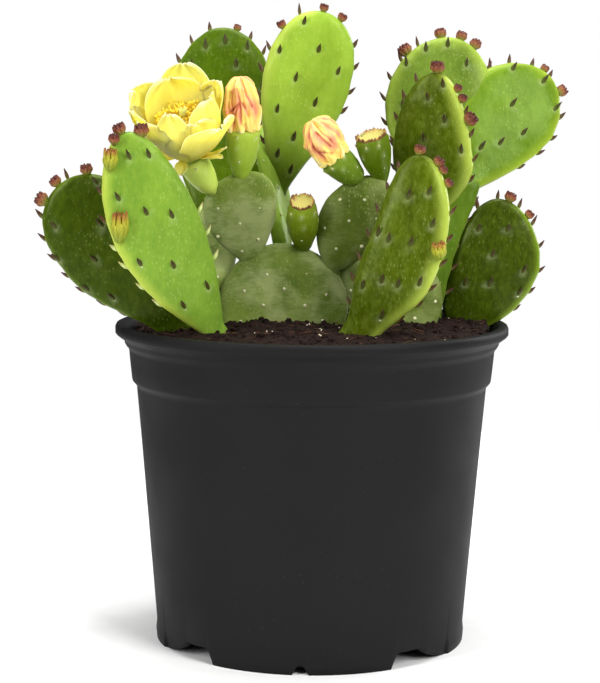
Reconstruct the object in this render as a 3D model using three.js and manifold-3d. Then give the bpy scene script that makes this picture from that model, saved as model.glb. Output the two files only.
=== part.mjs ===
// A paddle cactus (prickly pear) in a round black nursery pot.
// Millimetres, +Z up, the viewer looks along +Y. The origin is the middle of the pot's footprint,
// on the ground that the pot stands on.
import * as THREE from 'three';
import { mergeVertices } from 'three/addons/utils/BufferGeometryUtils.js';
import Module from 'manifold-3d';

const wasm = await Module();
wasm.setup();

// ---------------------------------------------------------------- driving dimensions

const POT_HEIGHT = 138;
const RIM_RADIUS = 85;
const LIP_HEIGHT = 4.7;
const LIP_WIDTH = 4.6;
const COLLAR_TOP_RADIUS = 79.1;
const COLLAR_FOOT_RADIUS = 77.9;
const COLLAR_FOOT = 113.9;
const BODY_TOP_RADIUS = 75.8;
const BODY_TOP = 111.7;
const BODY_FOOT_RADIUS = 67.3;
const WALL = 1.6;
const FLOOR_LEVEL = 7.1;
const FOOT_RADIUS = 66.4;
const FOOT_WIDTH = 2.4;
const POT_TURN = -3.2;
const POT_SIDES = 27;

const SOIL_SIDES = 20;
const SOIL_GAP = 0.6;
const SOIL_EDGE_LEVEL = 135.6;
const SOIL_CROWN = 1.9;
const TOUCH_GAP = 0.3;

const PAD_SIDES = 12;
const PAD_RINGS = 9;
const PAD_SECTION = 2.4;
const NECK_THICKNESS_SHARE = 0.75;
const ROOT_IN_SOIL = 14;
const ROOT_IN_PAD = 4;

const LEAF_LENGTH = 5.2;
const LEAF_RADIUS = 1.1;
const LEAF_SUNK = 1.4;
const LEAF_COLUMN = 12.5;
const LEAF_COLUMNS = 2;
const LEAF_ROWS = 6;
const LEAF_SCATTER = 1.6;
const LEAF_LEAN = 1.7;
const LEAVES_FROM = 0.1;
const LEAVES_TO = 0.93;
const LEAVES_ACROSS = 0.82;
const MARGIN_SPACING = 21;
const MARGIN_END = 150;
const MARGIN_LEAN = 0.6;
const BUD_SUNK = 1.6;
const BUD_SIDES = 5;
const BUD_HEIGHT = 1.75;
const BUD_LEAN = 0.3;
const BUD_PROUD = 0.35;

const OVARY_SUNK = 3;
const OVARY_SIDES = 10;
const OVARY_WIDEST = 0.75;
const OVARY_CURVE = 0.9;
const OVARY_RINGS = [0.05, 0.25, 0.5, 0.8];
const CUT_DEPTH = 1.6;
const PETAL_THICKNESS = 0.8;
const PETAL_SUNK = 2;
const PETAL_FOOT_SHARE = 0.45;
const PETAL_TAPER = 0.97;
const PETAL_GRID = [2, 3];
const TEPAL_GRID = [1, 2];
// Where a petal is fullest and how fast it closes to its tip: a round one, and what a point takes off.
const PETAL_FULLEST = [0.62, 0.18];
const PETAL_CLOSING = [2.6, 1.3];
const SEED = 20;

// Each pad: where its neck and its far end are, how wide and thick it is, the share of its length
// at which it is widest, how fast it narrows to its neck, how square its far end is, how far its
// middle swings sideways and out of its face, and the angle of its face from the viewer. A bud is a
// row of [degrees round the margin, radius, how tall, how far in from the margin it stands].
const PADS = {
  pad_front_left: {
    base: [-41.5, -42, 140.5], tip: [-76.5, -58, 219.5], width: 36, thickness: 9, neck: 10,
    widest: 0.55, taper: 0.86, square: 1.8, sweep: -3.4, bow: 2, turn: 6, root: ROOT_IN_SOIL,
    skin: 0x86b23c, rows: 22, phase: 11, slant: -0.85,
    buds: [[25, 2.9], [0, 2.6], [-16, 2.2, 1, 0.8], [-40, 2.9, 1.7, 3], [-86, 3.5, 2, 2.8]],
  },
  pad_front_right: {
    base: [18.5, -44, 137], tip: [45, -52, 211.5], width: 30.5, thickness: 9.5, neck: 14.5,
    widest: 0.4, taper: 1.9, square: 3.1, sweep: 6.6, bow: 2, turn: -16, root: ROOT_IN_SOIL,
    skin: 0x66830f, rows: 18.5, phase: 8, slant: 0.5,
    buds: [[-10, 2.3], [20, 2.1], [29, 1.8], [41, 1.8], [83, 2.9, 1.35, 0.3]],
  },
  pad_left_leaning: {
    base: [-58, -30, 139], tip: [-104.5, -32, 198.5], width: 42.5, thickness: 9, neck: 12.5,
    widest: 0.58, taper: 1.46, square: 2.8, sweep: -0.5, bow: 0, turn: -8, root: ROOT_IN_SOIL,
    skin: 0x41630f, rows: 20, phase: 2, slant: -0.6,
    buds: [[33, 2.5], [-3, 2.4], [-27, 2.9]],
  },
  pad_basal_centre: {
    base: [-14, -16, 134], tip: [-11, -8, 172.5], width: 55, thickness: 13, neck: 46,
    widest: 0.34, taper: 0.7, square: 1.85, sweep: 1, bow: 0, turn: 0, root: ROOT_IN_SOIL,
    skin: 0x5f8243,
  },
  pad_old_left: {
    base: [-28, -11, 166.5], tip: [-25.5, -18, 203.5], width: 31, thickness: 9, neck: 7.5,
    widest: 0.57, taper: 0.76, square: 1.95, sweep: -4.4, bow: 1, turn: 0, root: ROOT_IN_PAD,
    skin: 0x789a62,
  },
  pad_old_right: {
    base: [8.5, -11, 164], tip: [29.5, -18, 201], width: 26.5, thickness: 9, neck: 8.8,
    widest: 0.5, taper: 0.62, square: 1.8, sweep: -2.8, bow: 1, turn: 0, root: ROOT_IN_PAD,
    skin: 0x64884a,
  },
  pad_old_left_low: {
    base: [-38, -9, 152.5], tip: [-38, 13, 189], width: 24, thickness: 8, neck: 5,
    widest: 0.55, taper: 1.04, square: 2.2, sweep: -6, bow: 0, turn: 0, root: ROOT_IN_PAD,
    skin: 0x7d9a64,
  },
  pad_old_right_low: {
    base: [14.5, -10, 149], tip: [26, 6, 171.5], width: 22, thickness: 7, neck: 6,
    widest: 0.5, taper: 0.7, square: 2.2, sweep: -0.5, bow: 0, turn: 20, root: ROOT_IN_PAD,
    skin: 0x6f9257,
  },
  pad_basal_right: {
    base: [44, -8, 137], tip: [44, -4, 164.5], width: 24, thickness: 9, neck: 16,
    widest: 0.45, taper: 0.6, square: 2.2, sweep: 0, bow: 0, turn: 0, root: ROOT_IN_SOIL,
    skin: 0x5c7a4a,
  },
  pad_right_carrier: {
    base: [48.5, 4, 138], tip: [71.5, 9, 199], width: 19, thickness: 9, neck: 16,
    widest: 0.36, taper: 0.9, square: 1.7, sweep: -7, bow: 0, turn: 0, root: ROOT_IN_SOIL,
    skin: 0x4f7a35, rows: 21, phase: 18, slant: -0.4,
  },
  pad_right_dark: {
    base: [66, 10, 137], tip: [84, 8, 191], width: 37.5, thickness: 10, neck: 15,
    widest: 0.56, taper: 0.58, square: 1.7, sweep: 5, bow: 0, turn: 0, root: ROOT_IN_SOIL,
    skin: 0x436012, rows: 21, phase: 0, slant: 0.2,
    buds: [[4, 2.5], [31, 2]],
  },
  pad_edge_on: {
    base: [-13, -4, 171], tip: [-22, 22, 221.5], width: 26, thickness: 9, neck: 9,
    widest: 0.5, taper: 0.7, square: 2.2, sweep: 4, bow: 0, turn: 72, root: ROOT_IN_PAD,
    skin: 0x557636,
  },
  pad_top_centre: {
    base: [-15, 10, 195.5], tip: [4.5, 2, 271], width: 37.5, thickness: 10, neck: 8,
    widest: 0.63, taper: 1.29, square: 2.35, sweep: 0, bow: 0, turn: 4, root: ROOT_IN_PAD,
    skin: 0x78a838, rows: 20, phase: 2.5, slant: -0.9,
    buds: [[-2, 1.9], [23, 2], [-55, 1.9]],
  },
  pad_right_middle: {
    base: [54, 2, 188], tip: [51.5, -8, 245.5], width: 35, thickness: 10, neck: 9,
    widest: 0.34, taper: 0.9, square: 1.75, sweep: -2, bow: 0, turn: -20, root: ROOT_IN_PAD + 2,
    skin: 0x5d7c10, rows: 17, phase: 7, slant: -1.1,
    buds: [[3, 2.9], [35, 1.8], [44, 1.9], [60, 3]],
  },
  pad_top_right: {
    base: [66, 12, 196], tip: [102.5, 34, 246.5], width: 43.5, thickness: 9, neck: 7,
    widest: 0.64, taper: 0.99, square: 1.65, sweep: -3, bow: 0, turn: 0, root: ROOT_IN_PAD,
    skin: 0x83b245, rows: 20, phase: 0, slant: -0.7,
    buds: [[-2, 1.9], [30, 2.5]],
  },
  pad_back_right: {
    base: [57, 12, 189], tip: [59.5, 32, 261.5], width: 46.5, thickness: 9, neck: 9.5,
    widest: 0.59, taper: 1.09, square: 2.05, sweep: -3.5, bow: 0, turn: 0, root: ROOT_IN_PAD + 4,
    skin: 0x6d9f31, rows: 21, phase: 18, slant: -0.3,
    buds: [[-44, 3], [-8, 2.6], [14, 2.4], [31, 2.5]],
  },
  pad_back_left: {
    base: [-38.5, 16, 184], tip: [-41, 42, 265.5], width: 46, thickness: 9, neck: 22,
    widest: 0.63, taper: 0.65, square: 1.7, sweep: 0, bow: 0, turn: 0, root: ROOT_IN_PAD,
    skin: 0x446a12, rows: 20, phase: 9, slant: -0.7,
    buds: [[16, 1.7]],
  },
};

// Each ovary: the small fruit under a flower, with its foot's share of its radius. A cut one ends in
// a disc.
const OVARIES = {
  ovary_open_flower: {
    base: [-43.2, -20, 196.8], top: [-51, -27.5, 208.6], radius: 6.3, foot: 0.62, skin: 0x7fa64c,
  },
  ovary_withered_left: {
    base: [-30.3, -19, 202.2], top: [-29.2, -22, 221], radius: 6.9, foot: 0.48, skin: 0x7da651,
  },
  ovary_withered_right: {
    base: [18.4, -18, 201], top: [8.2, -22, 210], radius: 6.7, foot: 0.66, skin: 0x6f9a3c,
  },
  fruit_cut_right: {
    base: [29, -16.5, 200.6], top: [24.2, -22.5, 218.6], radius: 6.9, foot: 0.4, skin: 0x5f8c22, cut: true,
  },
  fruit_cut_centre: {
    base: [-4, -10, 171.6], top: [-4.4, -24, 191], radius: 7, foot: 0.5, skin: 0x5a8420, cut: true,
  },
};

// The open flower, along its own axis: a petal is a row of [turn about the axis, lean out of the
// axis at its foot and at its tip, length, width, how pointed, how folded, how far its tip is
// swept sideways], the angles in degrees.
const FLOWER = {
  foot: [-51, -28, 209.3], axis: [-0.1, -0.52, 0.85], skin: 0xf4e650,
  ring: 6, cup: [[0, 0], [4.4, 0], [6.4, 3], [6.8, 6], [0, 6]],
  petals: [
    [80, 38, 12, 35, 25, 0.4, 0.3, 3.5], [114, 36, -4, 31.5, 27, 0, 0.35, 0],
    [163, 46, 10, 33.5, 28, 0, 0.3, 0], [36, 42, 8, 30, 20, 0.6, 0.35, 1],
    [340, 46, -18, 32, 28, 0, 0.5, -1], [314, 52, 26, 28.5, 28, 0.2, 0.4, 0],
    [290, 50, 0, 28, 22, 0.1, 0.4, 0], [260, 56, -12, 35, 19, 0.9, 0.4, 0],
    [222, 50, 14, 29, 24, 0.2, 0.4, 0], [194, 48, 12, 31, 22, 0.2, 0.4, 0],
  ],
  tepals: [
    [326, 76, 40, 17, 6, 1, 0.3, 0], [340, 96, 80, 9, 5, 1, 0.3, 0], [248, 120, 140, 6, 6, 1, 0.3, 0],
    [200, 84, 60, 12, 6, 1, 0.3, 0], [150, 80, 46, 15, 7, 1, 0.3, 0], [100, 78, 40, 16, 7, 1, 0.3, 0],
    [50, 80, 50, 14, 7, 1, 0.3, 0],
  ],
};
const STAMENS = {
  low: 6.4, height: 20, radius: 8, foot: 2.2, rods: 16, rodLength: 6.5, rodRadius: 0.8,
  skin: 0xe9bf2c,
};

// Each withered flower: from where it sits on its ovary to its crumpled end.
const WITHERED = {
  withered_flower_left: {
    base: [-29.3, -21.8, 220.2], tip: [-30.6, -25, 242.6], radius: 6.9, folds: 5, skin: 0xf2b46c,
  },
  withered_flower_right: {
    base: [9, -21.8, 209.4], tip: [0.2, -26, 223.4], radius: 7.2, folds: 5, skin: 0xf3bf69,
  },
};

// How far a withered flower's folds stand out and twist, and how much its foot and belly swell.
const FOLDS = { depth: 0.17, twist: 2.4, foot: 0.86, belly: 0.3, ripple: 1.1 };

// Where the soil is heaped: middle, spread in X and Y, height.
const HEAPS = [[-16, -24, 22, 12, 2.6], [60, -4, 25, 25, 1.4]];
const SOIL_LUMPS = 0.5;

const FOOT_CUT = { turn: 48, depth: 14 };
const DRAIN = { radius: 5, reach: 46, count: 6 };
const SIDE_FOOT = { span: 27, proud: 1, edge: 0.8 };

const SOIL_COLOUR = 0x35201c;
const SOIL_ROUGHNESS = 0.95;
const POT_COLOUR = 0x2c2b2c;
const POT_ROUGHNESS = 0.5;
const SKIN_ROUGHNESS = 0.45;

// ---------------------------------------------------------------- small tools

function randomSource(seed) {
  let state = seed;
  return () => {
    state = (state + 0x6d2b79f5) | 0;
    let mixed = Math.imul(state ^ (state >>> 15), 1 | state);
    mixed = (mixed + Math.imul(mixed ^ (mixed >>> 7), 61 | mixed)) ^ mixed;
    return ((mixed ^ (mixed >>> 14)) >>> 0) / 2 ** 32;
  };
}

const random = randomSource(SEED);
const radians = THREE.MathUtils.degToRad;
const vector = (triple) => new THREE.Vector3(...triple);
const rounded = (value, power) => Math.sign(value) * Math.abs(value) ** power;

function toSolid(geometry) {
  const bare = geometry.clone();
  bare.deleteAttribute('normal');
  bare.deleteAttribute('uv');
  const merged = mergeVertices(bare, 1e-4);
  return new wasm.Manifold(new wasm.Mesh({
    numProp: 3,
    vertProperties: Float32Array.from(merged.attributes.position.array),
    triVerts: Uint32Array.from(merged.index.array),
  }));
}

function toGeometry(solid) {
  const { vertProperties, triVerts } = solid.getMesh();
  const geometry = new THREE.BufferGeometry();
  geometry.setAttribute('position', new THREE.BufferAttribute(vertProperties, 3));
  geometry.setIndex(new THREE.BufferAttribute(triVerts, 1));
  geometry.computeVertexNormals();
  return geometry;
}

function joined(solids) {
  return solids.reduce((whole, solid) => whole.add(solid));
}

// What is left of a solid after a cut may be several pieces: the largest one is the part.
function largest(solid) {
  return solid.decompose().reduce((best, piece) => (piece.volume() > best.volume() ? piece : best));
}

// Moves every vertex of a geometry to where a function of its old place says.
function reshaped(geometry, place) {
  const spots = geometry.attributes.position;
  const old = new THREE.Vector3();
  for (let i = 0; i < spots.count; i += 1) {
    const spot = place(old.fromBufferAttribute(spots, i));
    spots.setXYZ(i, spot.x, spot.y, spot.z);
  }
  return geometry;
}

// Turns a geometry that stands along +Y from the origin to stand at a place, along a direction.
function stood(geometry, place, direction, spin = 0) {
  const turn = new THREE.Quaternion().setFromUnitVectors(new THREE.Vector3(0, 1, 0), direction);
  return geometry.rotateY(spin).applyQuaternion(turn).translate(place.x, place.y, place.z);
}

// ---------------------------------------------------------------- pads

function padFrame(pad) {
  const base = vector(pad.base);
  const axis = vector(pad.tip).sub(base);
  const length = axis.length();
  axis.normalize();
  const normal = new THREE.Vector3(Math.sin(radians(pad.turn)), -Math.cos(radians(pad.turn)), 0);
  normal.addScaledVector(axis, -normal.dot(axis)).normalize();
  const across = new THREE.Vector3().crossVectors(axis, normal);
  return { base, axis, length, normal, across };
}

// Half the width at a share of the length; below the neck it stays as wide as the neck.
function halfWidth(pad, share) {
  if (share < pad.widest) {
    const neck = pad.neck / pad.width;
    const rise = Math.sin((Math.PI / 2) * Math.max(share, 0) / pad.widest) ** pad.taper;
    return (pad.width / 2) * (neck + (1 - neck) * rise);
  }
  const beyond = Math.min((share - pad.widest) / (1 - pad.widest), 1);
  return (pad.width / 2) * Math.sqrt(1 - beyond ** pad.square);
}

function halfThickness(pad, share) {
  if (share < pad.widest) {
    return (pad.thickness / 2)
      * THREE.MathUtils.lerp(NECK_THICKNESS_SHARE, 1, Math.max(share, 0) / pad.widest);
  }
  return (pad.thickness / 2) * (halfWidth(pad, share) / (pad.width / 2)) ** 0.5;
}

function padPoint(pad, frame, share, across, out) {
  const swing = 4 * share * (1 - share);
  return frame.base.clone()
    .addScaledVector(frame.axis, frame.length * share)
    .addScaledVector(frame.across, across + pad.sweep * swing)
    .addScaledVector(frame.normal, out + pad.bow * swing);
}

// The pad's body: a ball drawn out along the pad, its rings following the outline.
function padBody(pad, grow) {
  const frame = padFrame(pad);
  const ball = new THREE.SphereGeometry(1, PAD_SIDES, PAD_RINGS);
  const rootShare = pad.root / frame.length;
  return reshaped(ball, (spot) => {
    const down = Math.acos(THREE.MathUtils.clamp(spot.y, -1, 1)) / Math.PI;
    const reach = Math.hypot(spot.x, spot.z);
    const cosine = reach > 1e-6 ? spot.x / reach : 1;
    const sine = reach > 1e-6 ? spot.z / reach : 0;
    let share;
    if (down <= 0.5) {
      share = pad.widest + (1 - pad.widest) * Math.cos(Math.PI * down) ** (2 / pad.square);
    } else {
      const lower = Math.min((down - 0.5) / (0.5 - 1 / PAD_RINGS), 1);
      share = THREE.MathUtils.lerp(pad.widest, -rootShare, lower);
    }
    const atPole = down < 1e-4 || down > 1 - 1e-4;
    const wide = atPole ? 0 : halfWidth(pad, share) + grow;
    const deep = atPole ? 0 : halfThickness(pad, share) + grow;
    const far = grow * (down <= 0.5 ? 1 : -1) / frame.length;
    return padPoint(
      pad, frame, share + (atPole ? far : 0),
      wide * rounded(cosine, 2 / PAD_SECTION), deep * rounded(sine, 2 / PAD_SECTION),
    );
  });
}

// A point of the margin: 0 degrees is the far end, 90 the widest place on the right, 180 the neck.
function marginSpot(pad, frame, degrees) {
  const angle = Math.abs(degrees);
  const side = degrees < 0 ? -1 : 1;
  const share = angle <= 90
    ? pad.widest + (1 - pad.widest) * Math.cos(radians(angle)) ** (2 / pad.square)
    : pad.widest * (1 - (angle - 90) / 90);
  const wide = angle <= 90 ? (pad.width / 2) * Math.sin(radians(angle)) : halfWidth(pad, share);
  const place = padPoint(pad, frame, share, side * wide, 0);
  const outward = frame.across.clone().multiplyScalar(side * Math.sin(radians(Math.min(angle, 100))))
    .addScaledVector(frame.axis, Math.max(Math.cos(radians(angle)), -0.1));
  return { place, outward: outward.normalize() };
}

// Spots on a face follow slanted rows; spots on the margin are evenly spaced along it.
function leafSpots(pad) {
  const frame = padFrame(pad);
  const spots = [];
  for (const face of [1, -1]) {
    for (let column = -LEAF_COLUMNS; column <= LEAF_COLUMNS; column += 1) {
      const across = column * LEAF_COLUMN;
      for (let row = -1; row < LEAF_ROWS; row += 1) {
        const along = pad.phase + row * pad.rows + pad.slant * across * face;
        const share = (along + (random() - 0.5) * LEAF_SCATTER) / frame.length;
        const sideways = Math.abs(across) / halfWidth(pad, share);
        if (share < LEAVES_FROM || share > LEAVES_TO || sideways > LEAVES_ACROSS) continue;
        const inset = 1 - sideways ** PAD_SECTION;
        const out = face * halfThickness(pad, share) * inset ** (1 / PAD_SECTION);
        const outward = frame.normal.clone().multiplyScalar(face)
          .addScaledVector(frame.axis, LEAF_LEAN)
          .addScaledVector(frame.across, 0.02 * across);
        spots.push({ place: padPoint(pad, frame, share, across, out), outward: outward.normalize() });
      }
    }
  }
  let last = null;
  for (let degrees = -MARGIN_END; degrees <= MARGIN_END; degrees += 2) {
    const spot = marginSpot(pad, frame, degrees);
    if (last && spot.place.distanceTo(last) < MARGIN_SPACING) continue;
    last = spot.place;
    spot.outward.addScaledVector(frame.axis, MARGIN_LEAN).normalize();
    spots.push(spot);
  }
  return spots;
}

function leaf(spot, grow) {
  const length = LEAF_LENGTH + LEAF_SUNK + grow;
  const cone = new THREE.ConeGeometry(LEAF_RADIUS + grow, length, 3).translate(0, length / 2 - LEAF_SUNK, 0);
  return stood(cone, spot.place, spot.outward);
}

// A bud grows outward on the margin; one that stands in on the face grows straight up.
function budSpot(pad, frame, degrees, inset) {
  const { place, outward } = marginSpot(pad, frame, degrees);
  if (!inset) return { place, outward: outward.addScaledVector(frame.axis, BUD_LEAN).normalize() };
  place.addScaledVector(frame.across, -Math.sign(degrees) * inset)
    .addScaledVector(frame.normal, BUD_PROUD * pad.thickness);
  const upright = new THREE.Vector3(0, 0, 1).addScaledVector(frame.normal, BUD_LEAN);
  return { place, outward: upright.normalize() };
}

// A flower bud: a small barrel with a flat dented crown, its foot inside the pad.
function bud(spot, radius, tall, grow) {
  const wide = radius + grow;
  const high = BUD_HEIGHT * radius * tall;
  const profile = [
    [0, -BUD_SUNK], [0.5 * wide, -BUD_SUNK], [0.8 * wide, 0.2 * high], [wide, 0.6 * high],
    [0.9 * wide, high + grow], [0.5 * wide, 0.88 * high + grow], [0, 0.84 * high + grow],
  ];
  const barrel = new THREE.LatheGeometry(profile.map(([x, y]) => new THREE.Vector2(x, y)), BUD_SIDES);
  return stood(barrel, spot.place, spot.outward);
}

// A pad with its leaves and buds fused on. With grow, the same form a little larger all round.
function padSolid(pad, spots, grow) {
  const frame = padFrame(pad);
  const pieces = [toSolid(padBody(pad, grow))];
  for (const spot of spots) pieces.push(toSolid(leaf(spot, grow)));
  for (const [degrees, radius, tall = 1, inset = 0] of pad.buds ?? []) {
    pieces.push(toSolid(bud(budSpot(pad, frame, degrees, inset), radius, tall, grow)));
  }
  return joined(pieces);
}

// ---------------------------------------------------------------- ovaries and flowers

function ovarySolid(ovary, grow) {
  const base = vector(ovary.base);
  const axis = vector(ovary.top).sub(base);
  const length = axis.length();
  axis.normalize();
  const wide = ovary.radius + grow;
  const sunk = -OVARY_SUNK - grow;
  const foot = [[0, sunk], [0.55 * ovary.foot * wide, sunk], [0.85 * ovary.foot * wide, -0.8]];
  const flank = OVARY_RINGS.map((share) => {
    const rise = Math.sin((Math.PI / 2) * Math.min(share / OVARY_WIDEST, 1)) ** OVARY_CURVE;
    return [wide * THREE.MathUtils.lerp(ovary.foot, 1, rise), share * length];
  });
  const top = ovary.cut
    ? [
      [0.9 * wide, length + grow], [0.7 * wide, length - 0.75 * CUT_DEPTH + grow],
      [0, length - CUT_DEPTH + grow],
    ]
    : [[0.92 * wide, length + grow], [0, length + grow]];
  const profile = [...foot, ...flank, ...top].map(([x, y]) => new THREE.Vector2(x, y));
  return toSolid(stood(new THREE.LatheGeometry(profile, OVARY_SIDES), base, axis));
}

// A thin closed blade over a grid: the same triangles on both faces, and walls round the rim.
function blade(columns, rows, surface, thickness) {
  const points = [];
  const across = columns + 1;
  const count = across * (rows + 1);
  for (const side of [1, -1]) {
    for (let j = 0; j <= rows; j += 1) {
      for (let i = 0; i <= columns; i += 1) {
        const { place, normal } = surface(i / columns, j / rows);
        const spot = place.clone().addScaledVector(normal, (side * thickness) / 2);
        points.push(spot.x, spot.y, spot.z);
      }
    }
  }
  const index = [];
  const quad = (a, b, c, d) => index.push(a, b, c, a, c, d);
  for (let j = 0; j < rows; j += 1) {
    for (let i = 0; i < columns; i += 1) {
      const corner = j * across + i;
      index.push(corner, corner + 1, corner + across + 1, corner, corner + across + 1, corner + across);
      const under = corner + count;
      index.push(under, under + across + 1, under + 1, under, under + across, under + across + 1);
    }
  }
  const lastRow = rows * across;
  for (let i = 0; i < columns; i += 1) {
    quad(i + 1, i, i + count, i + 1 + count);
    quad(lastRow + i, lastRow + i + 1, lastRow + i + 1 + count, lastRow + i + count);
  }
  for (let j = 0; j < rows; j += 1) {
    const left = j * across;
    const right = left + columns;
    quad(left, left + across, left + across + count, left + count);
    quad(right + across, right, right + count, right + across + count);
  }
  const geometry = new THREE.BufferGeometry();
  geometry.setAttribute('position', new THREE.Float32BufferAttribute(points, 3));
  geometry.setIndex(index);
  return geometry;
}

function flowerFrame() {
  const foot = vector(FLOWER.foot);
  const axis = vector(FLOWER.axis).normalize();
  const right = new THREE.Vector3(1, 0, 0).addScaledVector(axis, -axis.x).normalize();
  const back = new THREE.Vector3().crossVectors(axis, right);
  return { foot, axis, right, back };
}

// A petal rises from the cup's ring, bends from one lean to another and turns its sides in.
function petal([turn, leave, arrive, length, width, point, fold, skew], [columns, rows], grow) {
  const { foot, axis, right, back } = flowerFrame();
  const outward = right.clone().multiplyScalar(Math.cos(radians(turn)))
    .addScaledVector(back, Math.sin(radians(turn)));
  const sideways = new THREE.Vector3().crossVectors(axis, outward);
  const start = radians(leave);
  const bend = radians(arrive - leave);
  const fullest = PETAL_FULLEST[0] - PETAL_FULLEST[1] * point;
  const closing = PETAL_CLOSING[0] - PETAL_CLOSING[1] * point;
  const surface = (u, v) => {
    const side = 2 * u - 1;
    const beyond = Math.max(v - fullest, 0) / (1 - fullest);
    const risen = Math.sin((Math.PI / 2) * Math.min(v / fullest, 1));
    const half = (width / 2) * THREE.MathUtils.lerp(PETAL_FOOT_SHARE, 1, risen)
      * Math.sqrt(1 - PETAL_TAPER * beyond ** closing) + grow;
    const lean = start + bend * v;
    const reach = (length + grow) / bend;
    const inward = outward.clone().multiplyScalar(-Math.cos(lean)).addScaledVector(axis, Math.sin(lean));
    const place = foot.clone()
      .addScaledVector(axis, PETAL_SUNK + reach * (Math.sin(lean) - Math.sin(start)))
      .addScaledVector(outward, FLOWER.ring + reach * (Math.cos(start) - Math.cos(lean)))
      .addScaledVector(inward, fold * half * side * side)
      .addScaledVector(sideways, half * side + skew * v * v);
    const normal = inward.negate().addScaledVector(sideways, 2 * fold * side).normalize();
    return { place, normal };
  };
  return toSolid(blade(columns, rows, surface, PETAL_THICKNESS + 2 * grow));
}

function petalsSolid(grow) {
  const { foot, axis } = flowerFrame();
  const profile = FLOWER.cup.map(([x, y]) => new THREE.Vector2(x + (x > 0 ? grow : 0), y));
  const pieces = [toSolid(stood(new THREE.LatheGeometry(profile, 9), foot, axis))];
  for (const shape of FLOWER.petals) pieces.push(petal(shape, PETAL_GRID, grow));
  for (const shape of FLOWER.tepals) pieces.push(petal(shape, TEPAL_GRID, grow));
  return joined(pieces);
}

function stamensSolid() {
  const { foot, axis, right, back } = flowerFrame();
  const { low, height, radius, rodLength, rodRadius } = STAMENS;
  const profile = [
    [0, low], [STAMENS.foot, low], [0.5 * radius, 0.7 * height], [0.9 * radius, 0.9 * height],
    [0.55 * radius, height], [0, 1.06 * height],
  ].map(([x, y]) => new THREE.Vector2(x, y));
  const pieces = [toSolid(stood(new THREE.LatheGeometry(profile, 8), foot, axis))];
  const goldenAngle = Math.PI * (3 - Math.sqrt(5));
  for (let i = 0; i < STAMENS.rods; i += 1) {
    const reach = radius * 0.9 * Math.sqrt((i + 0.5) / STAMENS.rods);
    const outward = right.clone().multiplyScalar(Math.cos(i * goldenAngle))
      .addScaledVector(back, Math.sin(i * goldenAngle));
    const spot = foot.clone().addScaledVector(axis, 0.84 * height).addScaledVector(outward, reach);
    const lean = axis.clone().addScaledVector(outward, 0.06 * reach).normalize();
    const rod = new THREE.CylinderGeometry(rodRadius, 0.75 * rodRadius, rodLength, 3)
      .translate(0, rodLength / 2, 0);
    pieces.push(toSolid(stood(rod, spot, lean, random() * Math.PI)));
  }
  return joined(pieces);
}

// A withered flower: a closed bag whose wall is gathered in lengthwise folds.
function witheredSolid(flower, grow) {
  const base = vector(flower.base);
  const axis = vector(flower.tip).sub(base);
  const length = axis.length();
  axis.normalize();
  const ball = new THREE.SphereGeometry(1, 15, 9);
  const bag = reshaped(ball, (spot) => {
    const up = (spot.y + 1) / 2;
    const angle = Math.atan2(spot.z, spot.x);
    const fold = 1 + FOLDS.depth * up * Math.cos(flower.folds * angle + FOLDS.twist * up);
    const swell = flower.radius * (FOLDS.foot + FOLDS.belly * Math.sin(Math.PI * up)) * fold + grow;
    const lift = up * length + FOLDS.ripple * up * Math.sin(3 * angle) + (up < 0.5 ? -grow : grow);
    const reach = Math.hypot(spot.x, spot.z) ** 0.6;
    return new THREE.Vector3(Math.cos(angle) * swell * reach, lift, Math.sin(angle) * swell * reach);
  });
  return toSolid(stood(bag, base, axis));
}

// ---------------------------------------------------------------- soil

// The soil lies just under the rim, heaped a little round the old pad in the middle.
function soilLevel(x, y, edgeRadius) {
  const share = Math.hypot(x, y) / edgeRadius;
  const lumps = SOIL_LUMPS * Math.sin(0.31 * x + 0.17 * y) * Math.sin(0.27 * y - 0.11 * x);
  const level = SOIL_EDGE_LEVEL + (SOIL_CROWN + lumps) * (1 - share ** 6);
  return HEAPS.reduce((sum, [atX, atY, wideX, wideY, height]) => (
    sum + height * Math.exp(-(((x - atX) / wideX) ** 2) - ((y - atY) / wideY) ** 2)
  ), level);
}

function soilSolid() {
  const topRadius = COLLAR_TOP_RADIUS - WALL - SOIL_GAP;
  const foot = FLOOR_LEVEL + WALL + SOIL_GAP;
  const bodyTop = BODY_TOP_RADIUS - WALL - SOIL_GAP;
  const profile = [
    [0, foot], [BODY_FOOT_RADIUS - WALL - SOIL_GAP, foot], [bodyTop, BODY_TOP], [bodyTop + 0.6, COLLAR_FOOT],
    [topRadius, POT_HEIGHT - LIP_HEIGHT - 3], [topRadius, POT_HEIGHT - LIP_HEIGHT],
  ].map(([x, y]) => new THREE.Vector2(x, y));
  const rings = 4;
  for (let ring = 0; ring <= rings; ring += 1) {
    profile.push(new THREE.Vector2(topRadius * (1 - ring / rings), POT_HEIGHT));
  }
  const lathe = new THREE.LatheGeometry(profile, SOIL_SIDES).rotateX(Math.PI / 2);
  return toSolid(reshaped(lathe, ({ x, y, z }) => {
    const level = z > POT_HEIGHT - 0.01 ? soilLevel(x, y, topRadius) : z;
    return new THREE.Vector3(x, y, level);
  }));
}

// ---------------------------------------------------------------- pot

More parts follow.
